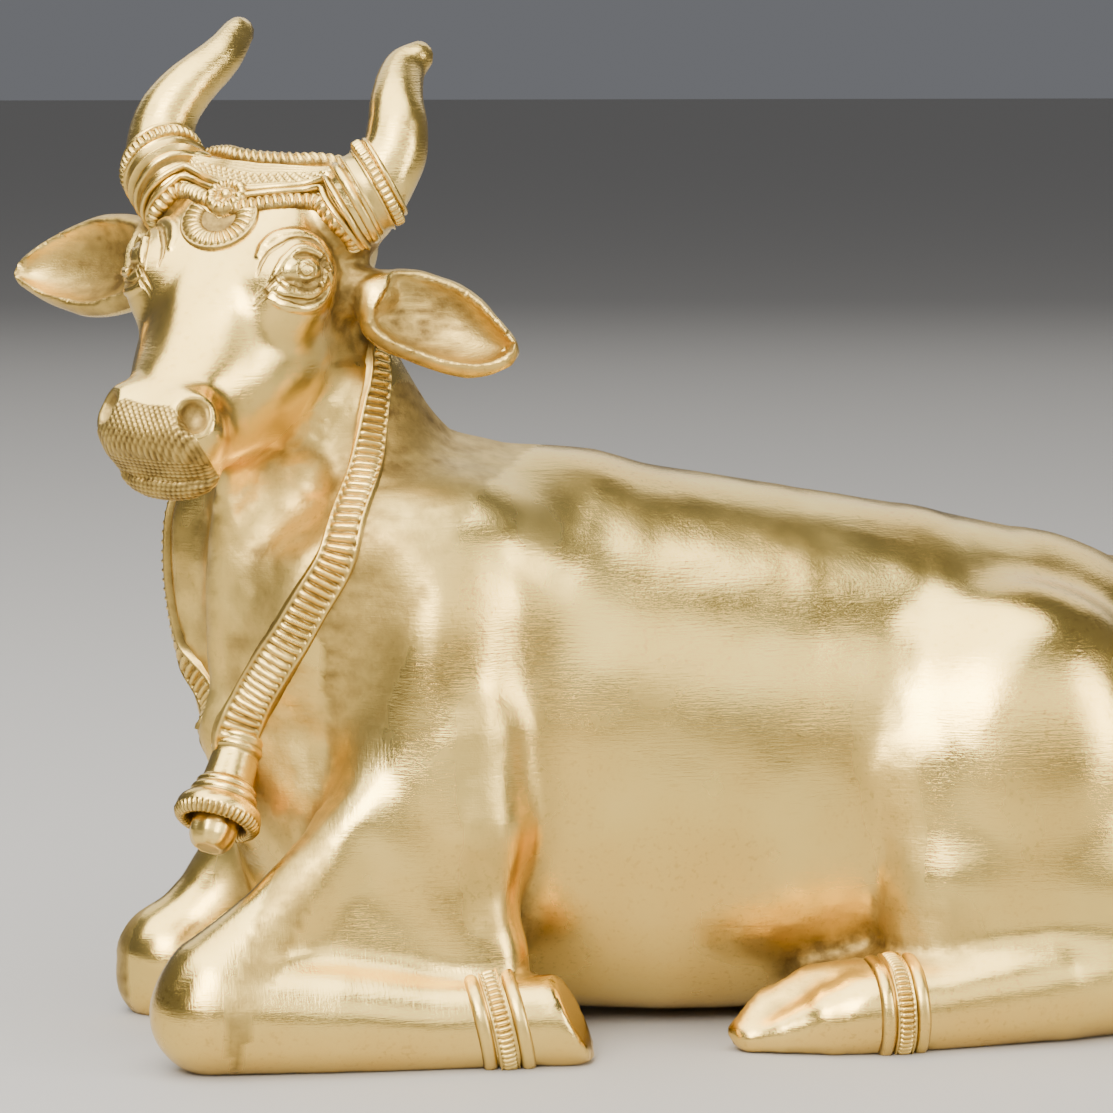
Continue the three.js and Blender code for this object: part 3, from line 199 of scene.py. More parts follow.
EAR_HALF = 5.4  # half thickness of an ear in its middle
CUP_DEPTH = 6.0
CUP_SHARE = 0.8  # of the ear's height, the rest is its rim


def leaf(root, tip, open_side, rows, k):
    """An ear: a thick leaf with a deep cup pressed into its open side; rows are half height either side."""
    root, tip = np.array(root, float), np.array(tip, float)
    length = np.linalg.norm(tip - root)
    e1 = unit(tip - root)
    e3 = unit(open_side - (open_side @ e1) * e1)
    axes = np.stack([e1, np.cross(e3, e1), e3], 1).astype(np.float32)

    def bowl(s, m, h, t):
        k0 = np.sqrt((s / h) ** 2 + (m / t) ** 2)
        return k0 * (k0 - 1) / (np.sqrt((s / h ** 2) ** 2 + (m / t ** 2) ** 2) + 1e-6)

    def dist(p):
        along, s, m = ((p - root.astype(np.float32)) @ axes).T
        up, down = curve(rows, along / length)
        half = EAR_HALF * np.clip(np.minimum(up, down) / 6, 0.4, 1)
        d = bowl(s, m + 0.667 * half, np.where(s > 0, up, down), half)
        up, down = curve(rows, 0.5 + (along / length - 0.5) / 0.86)
        reach = 1 - ((along / length - 0.48) / 0.46) ** 2
        wide = np.maximum(CUP_SHARE * np.where(s > 0, up, down), 0.8)
        cup = bowl(s, m - 0.3, wide, np.maximum(CUP_DEPTH * np.sqrt(np.maximum(reach, 0)), 0.8))
        d = np.where(reach > 0, smax(d, -cup, 1.2), d)
        d = smax(d, along - length * rows[-1][0], 2)
        return smax(d, length * rows[0][0] - along, 2) * np.float32(0.8)

    c = (root + tip) / 2
    reach = length / 2 + 6
    return Lump(dist, c - reach, c + reach, k)


def shorn(lump, p, n, k):
    """A lump cut off by a plane with a rounded edge: what lies beyond the plane through p goes."""
    away = unit(n)
    level = float(np.dot(p, away))
    away = away.astype(np.float32)
    return Lump(lambda q: smax(lump.dist(q), q @ away - np.float32(level), k), lump.lo, lump.hi, lump.k)


def field(lumps, p):
    d = np.full(len(p), FAR, np.float32)
    for f in lumps:
        m = f.k + (1 if f.cut else 6)
        near = np.nonzero(np.all((p > f.lo - m) & (p < f.hi + m), axis=1))[0]
        if len(near):
            e = f.dist(p[near])
            d[near] = smax(d[near], -e, f.k) if f.cut else smin(d[near], e, f.k)
    return d


CORNERS = np.array([[1, -1, -1], [-1, -1, 1], [-1, 1, -1], [1, 1, 1]], np.float32)


def gradient(lumps, p, e=0.04):
    return sum(c * field(lumps, p + c * np.float32(e))[:, None] for c in CORNERS) / (4 * e)


def settle(lumps, p, steps=2, limit=1.5):
    p = np.atleast_2d(np.asarray(p, np.float32))
    for _ in range(steps):
        g = gradient(lumps, p)
        step = field(lumps, p) / np.maximum((g * g).sum(1), 0.05)
        p = p - np.clip(step, -limit, limit)[:, None] * g
    return p


def pressed(points, lumps, r, depth, k):
    """A hollow along places near the skin of some lumps, pressed in by a depth."""
    spots = settle(lumps, points, 4, 3)
    out = unit(gradient(lumps, spots))
    centre = spots + out * (r - depth)
    return rod(np.concatenate([centre, np.full((len(points), 1), r)], 1), k, True)


def paired(lumps, axes, k, reach):
    """Lumps given in a head frame, made on both sides."""
    def dist(p):
        q = (p - POLL) @ axes.T
        q[:, 0] = np.abs(q[:, 0])
        return field(lumps, q)

    return Lump(dist, POLL - reach, POLL + reach, k)


# Head frames: heading (across, ahead, up) and face (across, down the face, out of the face)
ahead = np.array([-math.sin(HEAD_TURN), -math.cos(HEAD_TURN), 0])
level = np.cross([0, 0, 1], ahead)
across = level * math.cos(HEAD_TILT) + np.array([0, 0, math.sin(HEAD_TILT)])
upward = np.array([0, 0, math.cos(HEAD_TILT)]) - level * math.sin(HEAD_TILT)
down_face = ahead * math.cos(FACE_FALL) - upward * math.sin(FACE_FALL)
out_face = ahead * math.sin(FACE_FALL) + upward * math.cos(FACE_FALL)
HEADING = np.array([across, ahead, upward], np.float32)
FACE = np.array([across, down_face, out_face], np.float32)


def head_point(o, f, z):
    return POLL + np.array([o, f, z], np.float32) @ HEADING


def face_point(u, v, w):
    return POLL + np.array([u, v, w], np.float32) @ FACE


# Barrel of the body, chest to rump, with the fuller belly under it, flat beneath
barrel = [
    squash(rod([
        (-18, 0, 63, 42), (5, 0, 58.5, 48), (35, 0, 53, 48.5), (62, 0, 50.5, 46.5), (86, 0, 48.2, 43.7),
    ]), 0.84),
    egg((96, 0, 43), (34, 37, 39.5), 10),
    squash(rod([(-22, 0, 36, 33), (20, 0, 38, 38.5), (60, 0, 38, 38), (95, 0, 34, 34)], 10), 0.93),
]
torso = [Lump(lambda p: smax(field(barrel, p), BELLY - p[:, 2], 3), (-60, -48, 0), (140, 48, 112), 8)]

# Neck, rising and turning with the head, and the slope of the withers behind it
neck = [
    column([
        (16, -38, 0, 15, 22, 0), (36, -40.5, 0, 19, 26, 5), (56, -47, -2, 18.8, 25, 12),
        (76, -53, -4, 17.6, 24, 24), (96, -54.8, -4.2, 17, 20.5, 36), (110, -52.2, -4, 16.5, 16, 42),
        (120, -51, -4.5, 15.5, 13, 45), (130, -51, -6.5, 13.5, 12, 48), (142, -52.5, -9, 12.5, 13.5, 51),
        (150, -53, -9, 12, 13, 52),
    ], 14),
    rod([(-43.2, -2.5, 118.5, 12), (-32, -1, 98, 16), (-11, 0, 82.5, 24.5)], 15),
]

# Dewlap: the thin keel of skin from the throat down to the brisket
dewlap = [
    web((-66, -24, 112), (-65.5, -13, 58), (-52, -8, 88), 2.2, 7),
    rod([(-65.5, -13, 60, 2.6), (-61, -7, 44, 4)], 8),
]


def hoof(a, b, toe, out, k):
    """A hoof cut off at a slant through its toe; out turns the cut to the side."""
    return shorn(rod([a, b], k), toe, [0.885, out, 0.465], 1.0)


# Forelegs, both folded under the chest with the knee forward; skin runs from the elbow down to the shank
far_foreleg = [
    egg((-33, 24, 74), (17, 15, 27), 14, -70),
    rod([(-34, 25, 62, 14), (-22, 36, 32, 11)], 12),
    web((-34, 28, 64), (-20, 38, 30), (-62, 20, 20), 7.5, 8),
    web((-20, 37, 34), (-22, 34, 14), (-58, 22, 16), 6, 6),
    rod([(-42, 24, 56, 8), (-52, 21, 33, 8), (-63, 18, 19, 8), (-71, 17, 11.5, 9.8)], 6),
    rod([(-72.3, 17, 9.4, 10.4), (-73, 17, 7, 9.6), (-50, 21, 8.6, 9.4), (-25, 32, 7.6, 8.4),
         (-14, 34, 7.4, 8)], 3),
    hoof((-16, 34, 7.6, 8.2), (-8, 35, 7.6, 8.4), (-6.5, 35, 9.6), 0.2, 3),
]
near_foreleg = [
    egg((-32, -24, 84), (19, 14, 24), 16, -75),
    rod([(-30, -27, 74, 13), (-26, -32, 58, 12), (-24, -35, 44, 10.5)], 10),
    web((-34, -27, 72), (-25, -32.5, 58), (-41, -33, 44), 7, 8),
    web((-25, -32.5, 58), (-21.5, -37.5, 18), (-41, -33, 44), 7, 7),
    web((-41, -33, 44), (-21.5, -37.5, 18), (-66, -37, 18), 6.5, 6),
    rod([(-39, -25, 76, 5.5), (-41.5, -29.5, 61, 6), (-44, -33, 48, 6), (-50, -36, 37, 6),
         (-60, -38, 27, 6.5), (-70.5, -39.5, 16.5, 9.5)], 4),
    rod([(-72, -40, 10.7, 11.3), (-50, -42, 9.4, 10.4), (-34, -43.5, 8, 8.8), (-16, -44.5, 7.5, 8.1)], 3),
    hoof((-16, -44.5, 7.6, 8.2), (-8, -45, 7.6, 8.6), (-6.5, -45, 9.6), -0.29, 1),
]


def hind_leg(side):
    def at(*rows):
        return [(x, side * y, *rest) for x, y, *rest in rows]

    return [
        egg((83, side * 27.5, 46), (31, 22.5, 38), 6),
        rod(at((60, 17, 78, 11), (61, 21.5, 66, 15.5), (63.5, 26, 50, 18), (70, 28, 33, 19.5)), 2),
        rod(at((68, 34, 27, 13.5), (98, 34, 27, 17)), 6),
        rod(at((64, 38, 17, 8.5), (100, 38, 18, 10)), 6),
        rod(at((110, 36, 13.2, 14), (85, 43, 10.3, 11), (62, 46, 7.6, 8.4), (48, 46.5, 7.2, 7.8)), 4),
        web(*at((40, 38, 8), (62, 36, 12), (46, 28, 10)), 4.5, 5),
        web(*at((62, 36, 12), (100, 34, 18), (66, 26, 14)), 5, 5),
        rod(at((50, 47, 7.4, 7.8), (42, 47, 6, 6.8), (33, 46, 3.6, 3.8), (27.5, 44.5, 2.4, 2.4)), 2),
        rod(at((54, 42, 12, 4.2), (40, 41, 11.5, 3.6), (31, 41, 8, 3), (26, 42, 3.6, 2.6)), 3),
    ]


# Hollows under the jaw, in front of the shoulder by the chain, and beside the keel of the neck
flesh = torso + neck + dewlap + near_foreleg + hind_leg(-1)
hollows = [
    rod([(-52, -23, 105.5, 4), (-56, -27, 103.5, 7), (-62, -32, 100.5, 8)], 4, True),
    pressed([(-42.5, -34, 82), (-48, -33, 70), (-55, -30, 58)], flesh, 10, 2.2, 9),
    pressed([(-70, -9, 104), (-69.5, -8, 90), (-68.5, -7, 76), (-67.5, -8, 66)], flesh, 7.5, 2.8, 3),
]

# Tail: from the croup down over the rump and the far thigh, laid on the skin, its tuft by the far hock
rump = torso + hind_leg(1)


def on_rump(x, y, z, r):
    """A place of a rod, with its radius, drawn onto the skin of the rump."""
    return (*settle(rump, (x, y, z), 4, 4)[0], r)


tail = [
    rod([on_rump(*spot) for spot in (
        (112, 0, 84, 1), (120, 2, 77, 2.6), (127, 5, 68, 3.6), (131, 9, 60, 3.8),
        (132, 17, 50, 3.5), (126, 28, 38, 3.3), (116, 42, 31, 3.3), (104, 52, 30, 3.4))], 2.5),
    rod([on_rump(*spot) for spot in (
        (104, 52, 30, 3.4), (96, 54, 28, 5), (87, 54, 25, 4.6), (78, 52, 22, 1.6))], 2.5),
]

# Skull in the face frame, poll at 0, with the brow over the eye, the nose pad and the lower lip
face = [
    skull([
        (-6, -5, 8, 15.5, -12, 12, -26), (2, -0.8, 9.5, 17.5, -9.5, 14, -30),
        (12, 2.9, 11, 18.6, -8.5, 12, -34), (24, 2.8, 10, 19, -9, 13, -38),
        (34, 2.4, 7.6, 18.6, -10.5, 13.4, -38.5), (43, 2.2, 5.8, 16.4, -8.5, 12, -31.5),
        (51, 2.4, 6, 13.6, -7.5, 10, -24.5), (58, 2.2, 6.4, 12.2, -6.5, 8.8, -18.5),
        (66, 1, 7, 11.4, -6, 7.8, -14.5),
    ], -4, 65, 7),
    egg((13.5, 25, -5), (7, 9.5, 7.5), 5),
    egg((0, 59, -4.8), (11.6, 5.8, 6.4), 5),
    egg((0, 62.8, -12), (9.4, 5.4, 4.6), 2.5),
]

# Eye, laid out across and up from the pupil in the plane of the eye
EYE = np.array([16.2, 25, -0.5])
eye_out = unit([0.82, 0.15, 0.55])
eye_up = np.array([0, -0.777, 0.629])
eye_up = unit(eye_up - (eye_up @ eye_out) * eye_out)
eye_side = np.cross(eye_out, eye_up)


def onto_face(p, out, reach, lift):
    """Where the skin of the face is met, coming in from a place along a direction."""
    line = (p + np.arange(reach, -reach, -0.1)[:, None] * out).astype(np.float32)
    return line[np.argmax(field(face, line) <= 0)] + out * lift


def eye_point(s, t, lift=0.0):
    return onto_face(EYE + eye_side * s + eye_up * t, eye_out, 9, lift)


def fold(points, r, lift, k, cut):
    """A ridge or a groove along places by the eye, thinning out toward both of its ends."""
    rows = [(i, *p) for i, p in enumerate(points)]
    at = np.linspace(0, len(points) - 1, 4 * len(points))
    s, t = curve(rows, at)
    swell = r * (0.3 + 0.7 * np.minimum(np.minimum(at, at[-1] - at) / 1.2, 1))
    return rod([(*eye_point(a, b, lift), c) for a, b, c in zip(s, t, swell)], k, cut)


eyes = [
    rod([(*eye_point(0.1, 0.3, -0.2), 4.05), (*eye_point(0.5, 0.3, -0.2), 4.05)], 0.9, True),
    fold([(-6.2, -3.4), (-4.6, -0.4), (-2.6, 2.2), (0.3, 4.2), (3.2, 3.6), (5.4, 1.1), (6.8, -2.4)],
         0.85, 0.15, 0.35, False),
    fold([(-4.8, -1.2), (-3, -2.9), (0.3, -3.6), (2.9, -2.8), (4.7, -0.9)], 0.7, 0.1, 0.35, False),
    fold([(-5.6, -3.4), (-4, -4.9), (-0.8, -5.7), (1.9, -5.5), (4.5, -4.1), (5.8, -2.5)],
         0.6, 0.1, 0.3, True),
    fold([(-5.8, -4.8), (-3.6, -6.3), (0.3, -6.9), (3.5, -6), (5.8, -3.6)], 0.6, -0.2, 0.8, False),
    fold([(-6.9, -0.4), (-5.9, 1.9), (-4.0, 4.2), (-0.8, 6.1), (1.9, 6.4), (4.6, 5.4), (6.3, 3), (7.4, 0)],
         0.5, 0.1, 0.25, True),
    fold([(-5.6, 3.4), (-4.2, 5.4), (-1.8, 7.1), (1.7, 7.5), (5.1, 6.3), (7.2, 3.6)], 0.7, -0.2, 1.0, False),
    fold([(-7.8, -4.6), (-6.6, -3.2), (-5.2, -1.7), (-3.9, -0.2)], 0.35, 0.15, 0.25, True),
    fold([(-8.0, -6.2), (-6.8, -4.8), (-5.4, -3.4), (-4.2, -2)], 0.3, 0.15, 0.2, True),
    rod([(*eye_point(-1.2, 0.1, -2.6), 2.95), (*eye_point(1.6, 0.2, -2.7), 2.95)], 0.3),
]
pupil = eye_point(0.5, 0.1, -2.65)
iris = [(*(pupil + eye_side * 1.5 * math.cos(g) + eye_up * 1.5 * math.sin(g) + eye_out * 2.55), 0.28)
        for g in np.linspace(0, 2 * math.pi, 17)]
eyes.append(rod(iris, 0.25, True))

# Nostril: a round dimple pressed into a low swelling of the nose
nose_out = unit([0.62, 0.30, 0.72])
nose_up = unit(np.array([0.0, -0.9, 0.3]) - (np.array([0.0, -0.9, 0.3]) @ nose_out) * nose_out)
nose_side = np.cross(nose_out, nose_up)


def nose_point(s, t, lift):
    return onto_face(np.array([8.0, 58.4, 0.0]) + nose_side * s + nose_up * t, nose_out, 8, lift)


nostril = [
    rod([(*nose_point(0, -0.4, -3.0), 3.9), (*nose_point(0, 0.4, -3.0), 3.9)], 4),
    rod([(*nose_point(0, -0.3, 1.3), 2.8), (*nose_point(0, 0.3, 1.3), 2.8)], 1.6, True),
]

# The groove of the mouth
mouth = [
    rod([(0, 67, -8.4, 0.7), (5, 66.8, -9, 0.7), (9.6, 65, -10.6, 0.7), (12.5, 60.5, -12.6, 0.5),
         (14, 55, -14, 0.3)], 0.6, True),
]

# Horns and the poll between them, in the heading frame; the near tip is the shorter one
HORN = [
    (0, 19, -0.6, -8.2, 7.6), (1, 22.6, -1.2, -3.6, 6.8), (2, 24.4, -3.6, 1.6, 6.1),
    (3, 23.9, -5.6, 6.4, 5.6), (4, 21.8, -8.8, 11, 4.9), (5, 19.4, -15.4, 16.4, 4),
]
HORN_TIP = {1: (6, 20.9, -18.2, 19.2, 2.9), -1: (6, 19.2, -21.6, 21.2, 3)}


def horn(side):
    o, f, z, r = curve(HORN + [HORN_TIP[side]], np.linspace(0, 6, 37))
    centre = POLL + np.stack([side * o, f, z], 1) @ HEADING
    return rod([(*head_point(side * 13, -3, -11), 8.6), *np.concatenate([centre, r[:, None]], 1)], 2.5)


horns = [
    rod([(*head_point(-15, -4.5, -9.5), 7.6), (*head_point(0, -5, -10), 8),
         (*head_point(15, -4.5, -9.5), 7.6)], 5),
    horn(1),
    horn(-1),
]

# Ears: half height on either side of the middle, from root to tip
NEAR_EAR = [(-0.1, 5.6, 4.6), (0, 7.4, 6.6), (0.15, 8.8, 7.8), (0.3, 9, 8), (0.45, 8.9, 8),
            (0.62, 7.6, 7.8), (0.78, 5.2, 6.8), (0.9, 3.1, 5.3), (1, 1, 2.9)]
FAR_EAR = [(-0.05, 8, 8.4), (0, 8.2, 8.8), (0.15, 9, 10.4), (0.28, 9.3, 11), (0.42, 8.9, 11.2),
           (0.57, 7.6, 10.2), (0.75, 5.8, 8.1), (0.9, 3.4, 5), (1, 1.6, 2)]
NEAR_OPEN = np.array([0.55, 0.82, 0.38]) @ HEADING
FAR_OPEN = np.array([-0.1, 0.87, 0.38]) @ HEADING
near_root, near_tip = head_point(25.1, 1, -24.4), head_point(51.5, -4, -31.6)
far_root, far_tip = head_point(-26.7, 1, -21.4), head_point(-57, -6, -26.7)
ears = [
    rod([(*head_point(14, -3, -23), 5), (*head_point(23, -1.5, -24), 4)], 4),
    leaf(near_root, near_tip, NEAR_OPEN, NEAR_EAR, 2),
    rod([(*head_point(-14, -3, -20), 5), (*head_point(-23, -1.5, -21), 4)], 4),
    leaf(far_root, far_tip, FAR_OPEN, FAR_EAR, 2),
]

head = paired(face + eyes + nostril + mouth, FACE, 3.5, 95)
bull = torso + neck + dewlap + far_foreleg + near_foreleg + hind_leg(1) + hind_leg(-1) + hollows + tail
bull += [head] + horns + ears


def skin(lumps, lo, hi, h, block=4):
    """Quads over the clay: the distances on a grid near the surface, one point for each cell it crosses."""
    lo, hi = np.array(lo, float), np.array(hi, float)
    blocks = np.ceil((hi - lo) / (h * block)).astype(int)
    n = blocks * block + 1
    mids = [lo[i] + h * block * (np.arange(blocks[i]) + 0.5) for i in range(3)]
    mids = np.stack(np.meshgrid(*mids, indexing="ij"), -1).reshape(-1, 3).astype(np.float32)
    rough = field(lumps, mids)
    offset = np.stack(np.meshgrid(*[np.arange(block + 1)] * 3, indexing="ij"), -1).reshape(-1, 3)
    first = np.stack(np.unravel_index(np.arange(len(mids)), blocks), 1) * block
    value = np.full(n, FAR, np.float32)
    q = (first[rough <= -h * block * 1.25][:, None] + offset).reshape(-1, 3)
    value[q[:, 0], q[:, 1], q[:, 2]] = -FAR
    q = (first[np.abs(rough) < h * block * 1.25][:, None] + offset).reshape(-1, 3)
    q = np.stack(np.unravel_index(np.unique(np.ravel_multi_index(q.T, n)), n), 1)
    value[q[:, 0], q[:, 1], q[:, 2]] = field(lumps, (lo + q * h).astype(np.float32))
    inside = value < 0
    corners = [np.array(c) for c in np.ndindex(2, 2, 2)]
    count = sum(inside[tuple(slice(o, m - 1 + o) for o, m in zip(c, n))].astype(np.uint8) for c in corners)
    cells = np.stack(np.nonzero((count > 0) & (count < 8)), 1)
    number = np.full(count.shape, -1, np.int64)
    number[tuple(cells.T)] = np.arange(len(cells))
    held = {tuple(c): value[tuple((cells + c).T)].astype(float) for c in corners}
    total = np.zeros((len(cells), 3))
    hits = np.zeros(len(cells))
    for c in corners:
        for axis in range(3):
            if c[axis]:
                continue
            end = c.copy()
            end[axis] = 1
            va, vb = held[tuple(c)], held[tuple(end)]
            crossed = (va < 0) != (vb < 0)
            t = np.where(crossed, va / np.where(crossed, va - vb, 1), 0)
            total += np.where(crossed[:, None], c + t[:, None] * (end - c), 0)
            hits += crossed
    points = lo + (cells + total / hits[:, None]) * h
    quads = []
    for axis in range(3):
        u, v = np.eye(3, dtype=int)[(axis + 1) % 3], np.eye(3, dtype=int)[(axis + 2) % 3]
        here = [slice(1, -1)] * 3
        here[axis] = slice(0, -1)
        there = [slice(1, -1)] * 3
        there[axis] = slice(1, None)
        a, b = inside[tuple(here)], inside[tuple(there)]
        for flip, edge in ((False, a & ~b), (True, ~a & b)):
            g = np.stack(np.nonzero(edge), 1) + (1 - np.eye(3, dtype=int)[axis])
            ring = np.stack([number[tuple((g - s).T)] for s in (u + v, v, 0 * u, u)], 1)
            quads.append(ring[:, ::-1] if flip else ring)
    return points, np.concatenate(quads)


def refine(points, faces, marked):
    """Each quad with all its corners marked becomes four; its neighbours take up the new corners."""
    middle = {}
    new = []
    out = []
    rest = []
    start = len(points)

    def mid(a, b):
        key = (a, b) if a < b else (b, a)
        if key not in middle:
            middle[key] = start + len(new)
            new.append((points[a] + points[b]) / 2)
        return middle[key]

    for f in faces:
        if len(f) == 4 and all(marked[c] for c in f):
            m = [mid(f[i], f[(i + 1) % 4]) for i in range(4)]
            centre = start + len(new)
            new.append(sum(points[c] for c in f) / 4)
            out += [(f[i], m[i], centre, m[i - 1]) for i in range(4)]
        else:
            rest.append(f)
    for f in rest:
        grown = []
        for i, a in enumerate(f):
            b = f[(i + 1) % len(f)]
            grown.append(a)
            key = (a, b) if a < b else (b, a)
            if key in middle:
                grown.append(middle[key])
        out.append(tuple(grown))
    return np.concatenate([points, np.array(new).reshape(-1, 3)]), out


def noise(p, scale, seed):
    """Smooth noise between -1 and 1 from random values at the corners of a lattice."""
    table = np.random.default_rng(seed).uniform(-1, 1, 4096).astype(np.float32)
    q = p / scale + 1000.0
    cell = np.floor(q).astype(np.int64)
    t = (q - cell).astype(np.float32)
    t = t * t * (3 - 2 * t)
    out = 0
    for a, b, c in np.ndindex(2, 2, 2):
        i, j, k = cell[:, 0] + a, cell[:, 1] + b, cell[:, 2] + c
        key = i * 73856093 ^ j * 19349663 ^ k * 83492791
        w = np.abs(1 - a - t[:, 0]) * np.abs(1 - b - t[:, 1]) * np.abs(1 - c - t[:, 2])
        out = out + w * table[key % 4096]
    return out


def step(a, b, x):
    t = np.clip((x - a) / (b - a), 0, 1)
    return t * t * (3 - 2 * t)


def near_line(p, a, b):
    a, b = np.array(a, float), np.array(b, float)
    t = np.clip(((p - a) @ (b - a)) / ((b - a) @ (b - a)), 0, 1)
    return np.linalg.norm(p - a - t[:, None] * (b - a), axis=1)


coarse = 1.5  # size of the quads in mm before the face and ears are refined
points, faces = skin(bull, (-110, -66, -16), (148, 66, 202), coarse)
points = settle(bull, points, 2, coarse)
faces = [tuple(f) for f in faces.tolist()]


def in_face(p):
    q = (p - POLL) @ FACE.T
    return q[:, 0], q[:, 1], q[:, 2]


def whole_face(p):
    u, v, w = in_face(p)
    ear = np.abs(p @ HEADING.T[:, 0] - POLL @ HEADING.T[:, 0]) > 22
    return ((np.abs(u) < 24) & (v > -4) & (v < 72) & (w > -30)) | (ear & (p[:, 2] > 118) & (p[:, 2] < 156))


def eyes_and_muzzle(p):
    u, v, w = in_face(p)
    eye = (np.abs(np.abs(u) - 16) < 9) & (v > 12) & (v < 37) & (w > -15)
    h = (p - POLL) @ HEADING.T
    ear = (np.abs(h[:, 0]) > 24) & (h[:, 2] < -10) & (h[:, 2] > -44)
    return eye | ear | ((np.abs(u) < 15) & (v > 53) & (w > -19))


def eyes_and_pad(p):
    u, v, w = in_face(p)
    eye = (np.abs(np.abs(u) - 16) < 8) & (v > 16) & (v < 35) & (w > -12)
    return eye | ((np.abs(u) < 14) & (v > 55) & (w > -18))


for region in (whole_face, eyes_and_muzzle, eyes_and_pad):
    old = len(points)
    points, faces = refine(points, faces, region(points))
    points[old:] = settle(bull, points[old:], 2, 0.6)
points[:, 2] = np.maximum(points[:, 2], 0)


def outward(p):
    return unit(gradient(bull, p.astype(np.float32)) + 1e-9)


normals = outward(points)

# How shut in each place is: the clay that is met on the way out along the normal
shut = sum((s - field(bull, (points + normals * s).astype(np.float32))) / s for s in (1.0, 2.5, 5.0)) / 3
shut = np.clip(shut, 0, 1)

# Buffed skin: slow waves and faint dents left by the file. The throat between the two strands of the
# chain, the hollow by the bell and the creases of the legs were not reached, and keep the cast skin.
u, v, w = in_face(points)
relief = 0.10 * noise(points, 8.0, 1) + 0.05 * noise(points, 3.4, 2)
throat = 1 - step(13, 21, near_line(points, (-74, -26, 104), (-66, -12, 62)))
throat = np.maximum(throat, 1 - step(9, 16, near_line(points, (-60, -24, 62), (-57, -26, 46))))
throat *= np.clip(step(-24, -32, w) + (v > 70), 0, 1)
# Under the jaw, where its shadow falls: kept as cast skin, and darkened below with patina and painted shadow
# in patches
under_jaw = step(15, 8, near_line(points, (-63, -28, 101), (-46, -22, 108))) * step(-20, -27, w)
throat = np.maximum(throat, under_jaw)
# Creases of the legs: cast skin, and darkened below with patina and painted shade
creases = np.maximum(1 - step(2.5, 6, near_line(points, (-24, -41, 64), (-22, -44, 28))),
                     0.9 - 0.9 * step(2.5, 7, near_line(points, (52, -42, 62), (56, -44, 24))))
creases = np.maximum(creases, 1.3 - 1.3 * step(6, 13, near_line(points, (26, -40, 15), (62, -42, 21))))
cast = np.clip(np.maximum(throat, np.maximum(0.7 * creases, step(0.22, 0.5, shut))), 0, 1)
relief += cast * (0.28 * noise(points, 2.2, 3) + 0.15 * noise(points, 1.1, 4))

# Nose pad: hatched with the graver between the nostrils and over both lips, a little proud of the face
HATCH = 0.9  # from one cut of the hatching to the next
edge = np.interp(u, [-13, -8, -4.5, 0.5, 5, 9.4, 12.5], [64, 60.5, 58, 58.8, 58.6, 61.9, 64.5])
pad = step(-0.15, 0.25, v - edge) * (w > -19) * (np.abs(u) < 15)
row = np.where(v - w * 0.6 < 68, (u + v) * 0.707, v * 0.5 - w * 0.85)
col = np.where(v - w * 0.6 < 68, (u - v) * 0.707, u)
shifted = col * np.pi / 0.95 + np.floor(row / HATCH) * 0.6
hatch = np.sin(row * 2 * np.pi / HATCH) * 0.5 + np.abs(np.sin(shifted)) - 0.5
relief += pad * (0.06 + 0.15 * hatch)

points = points + normals * relief[:, None]
points[:, 2] = np.maximum(points[:, 2], 0)

# Fine strokes left by the tools: how deep they are round the horns, along the ears and down the forelegs
heading = (points - POLL) @ HEADING.T.astype(float)
horn_strokes = step(-4, 2, heading[:, 2]) * step(13, 16, np.abs(heading[:, 0]))
ear_strokes = step(23, 27, np.abs(heading[:, 0])) * step(-12, -16, heading[:, 2]) * (points[:, 2] > 116)
leg_strokes = 1 - step(5, 13, near_line(points, (-46, -40, 62), (-66, -48, 26)))
shank_strokes = 0.6 - 0.6 * step(8, 15, near_line(points, (-76, -42, 20), (-34, -50, 18)))
leg_strokes = np.maximum(leg_strokes, shank_strokes)
strokes = np.stack([horn_strokes, ear_strokes, leg_strokes], 1)
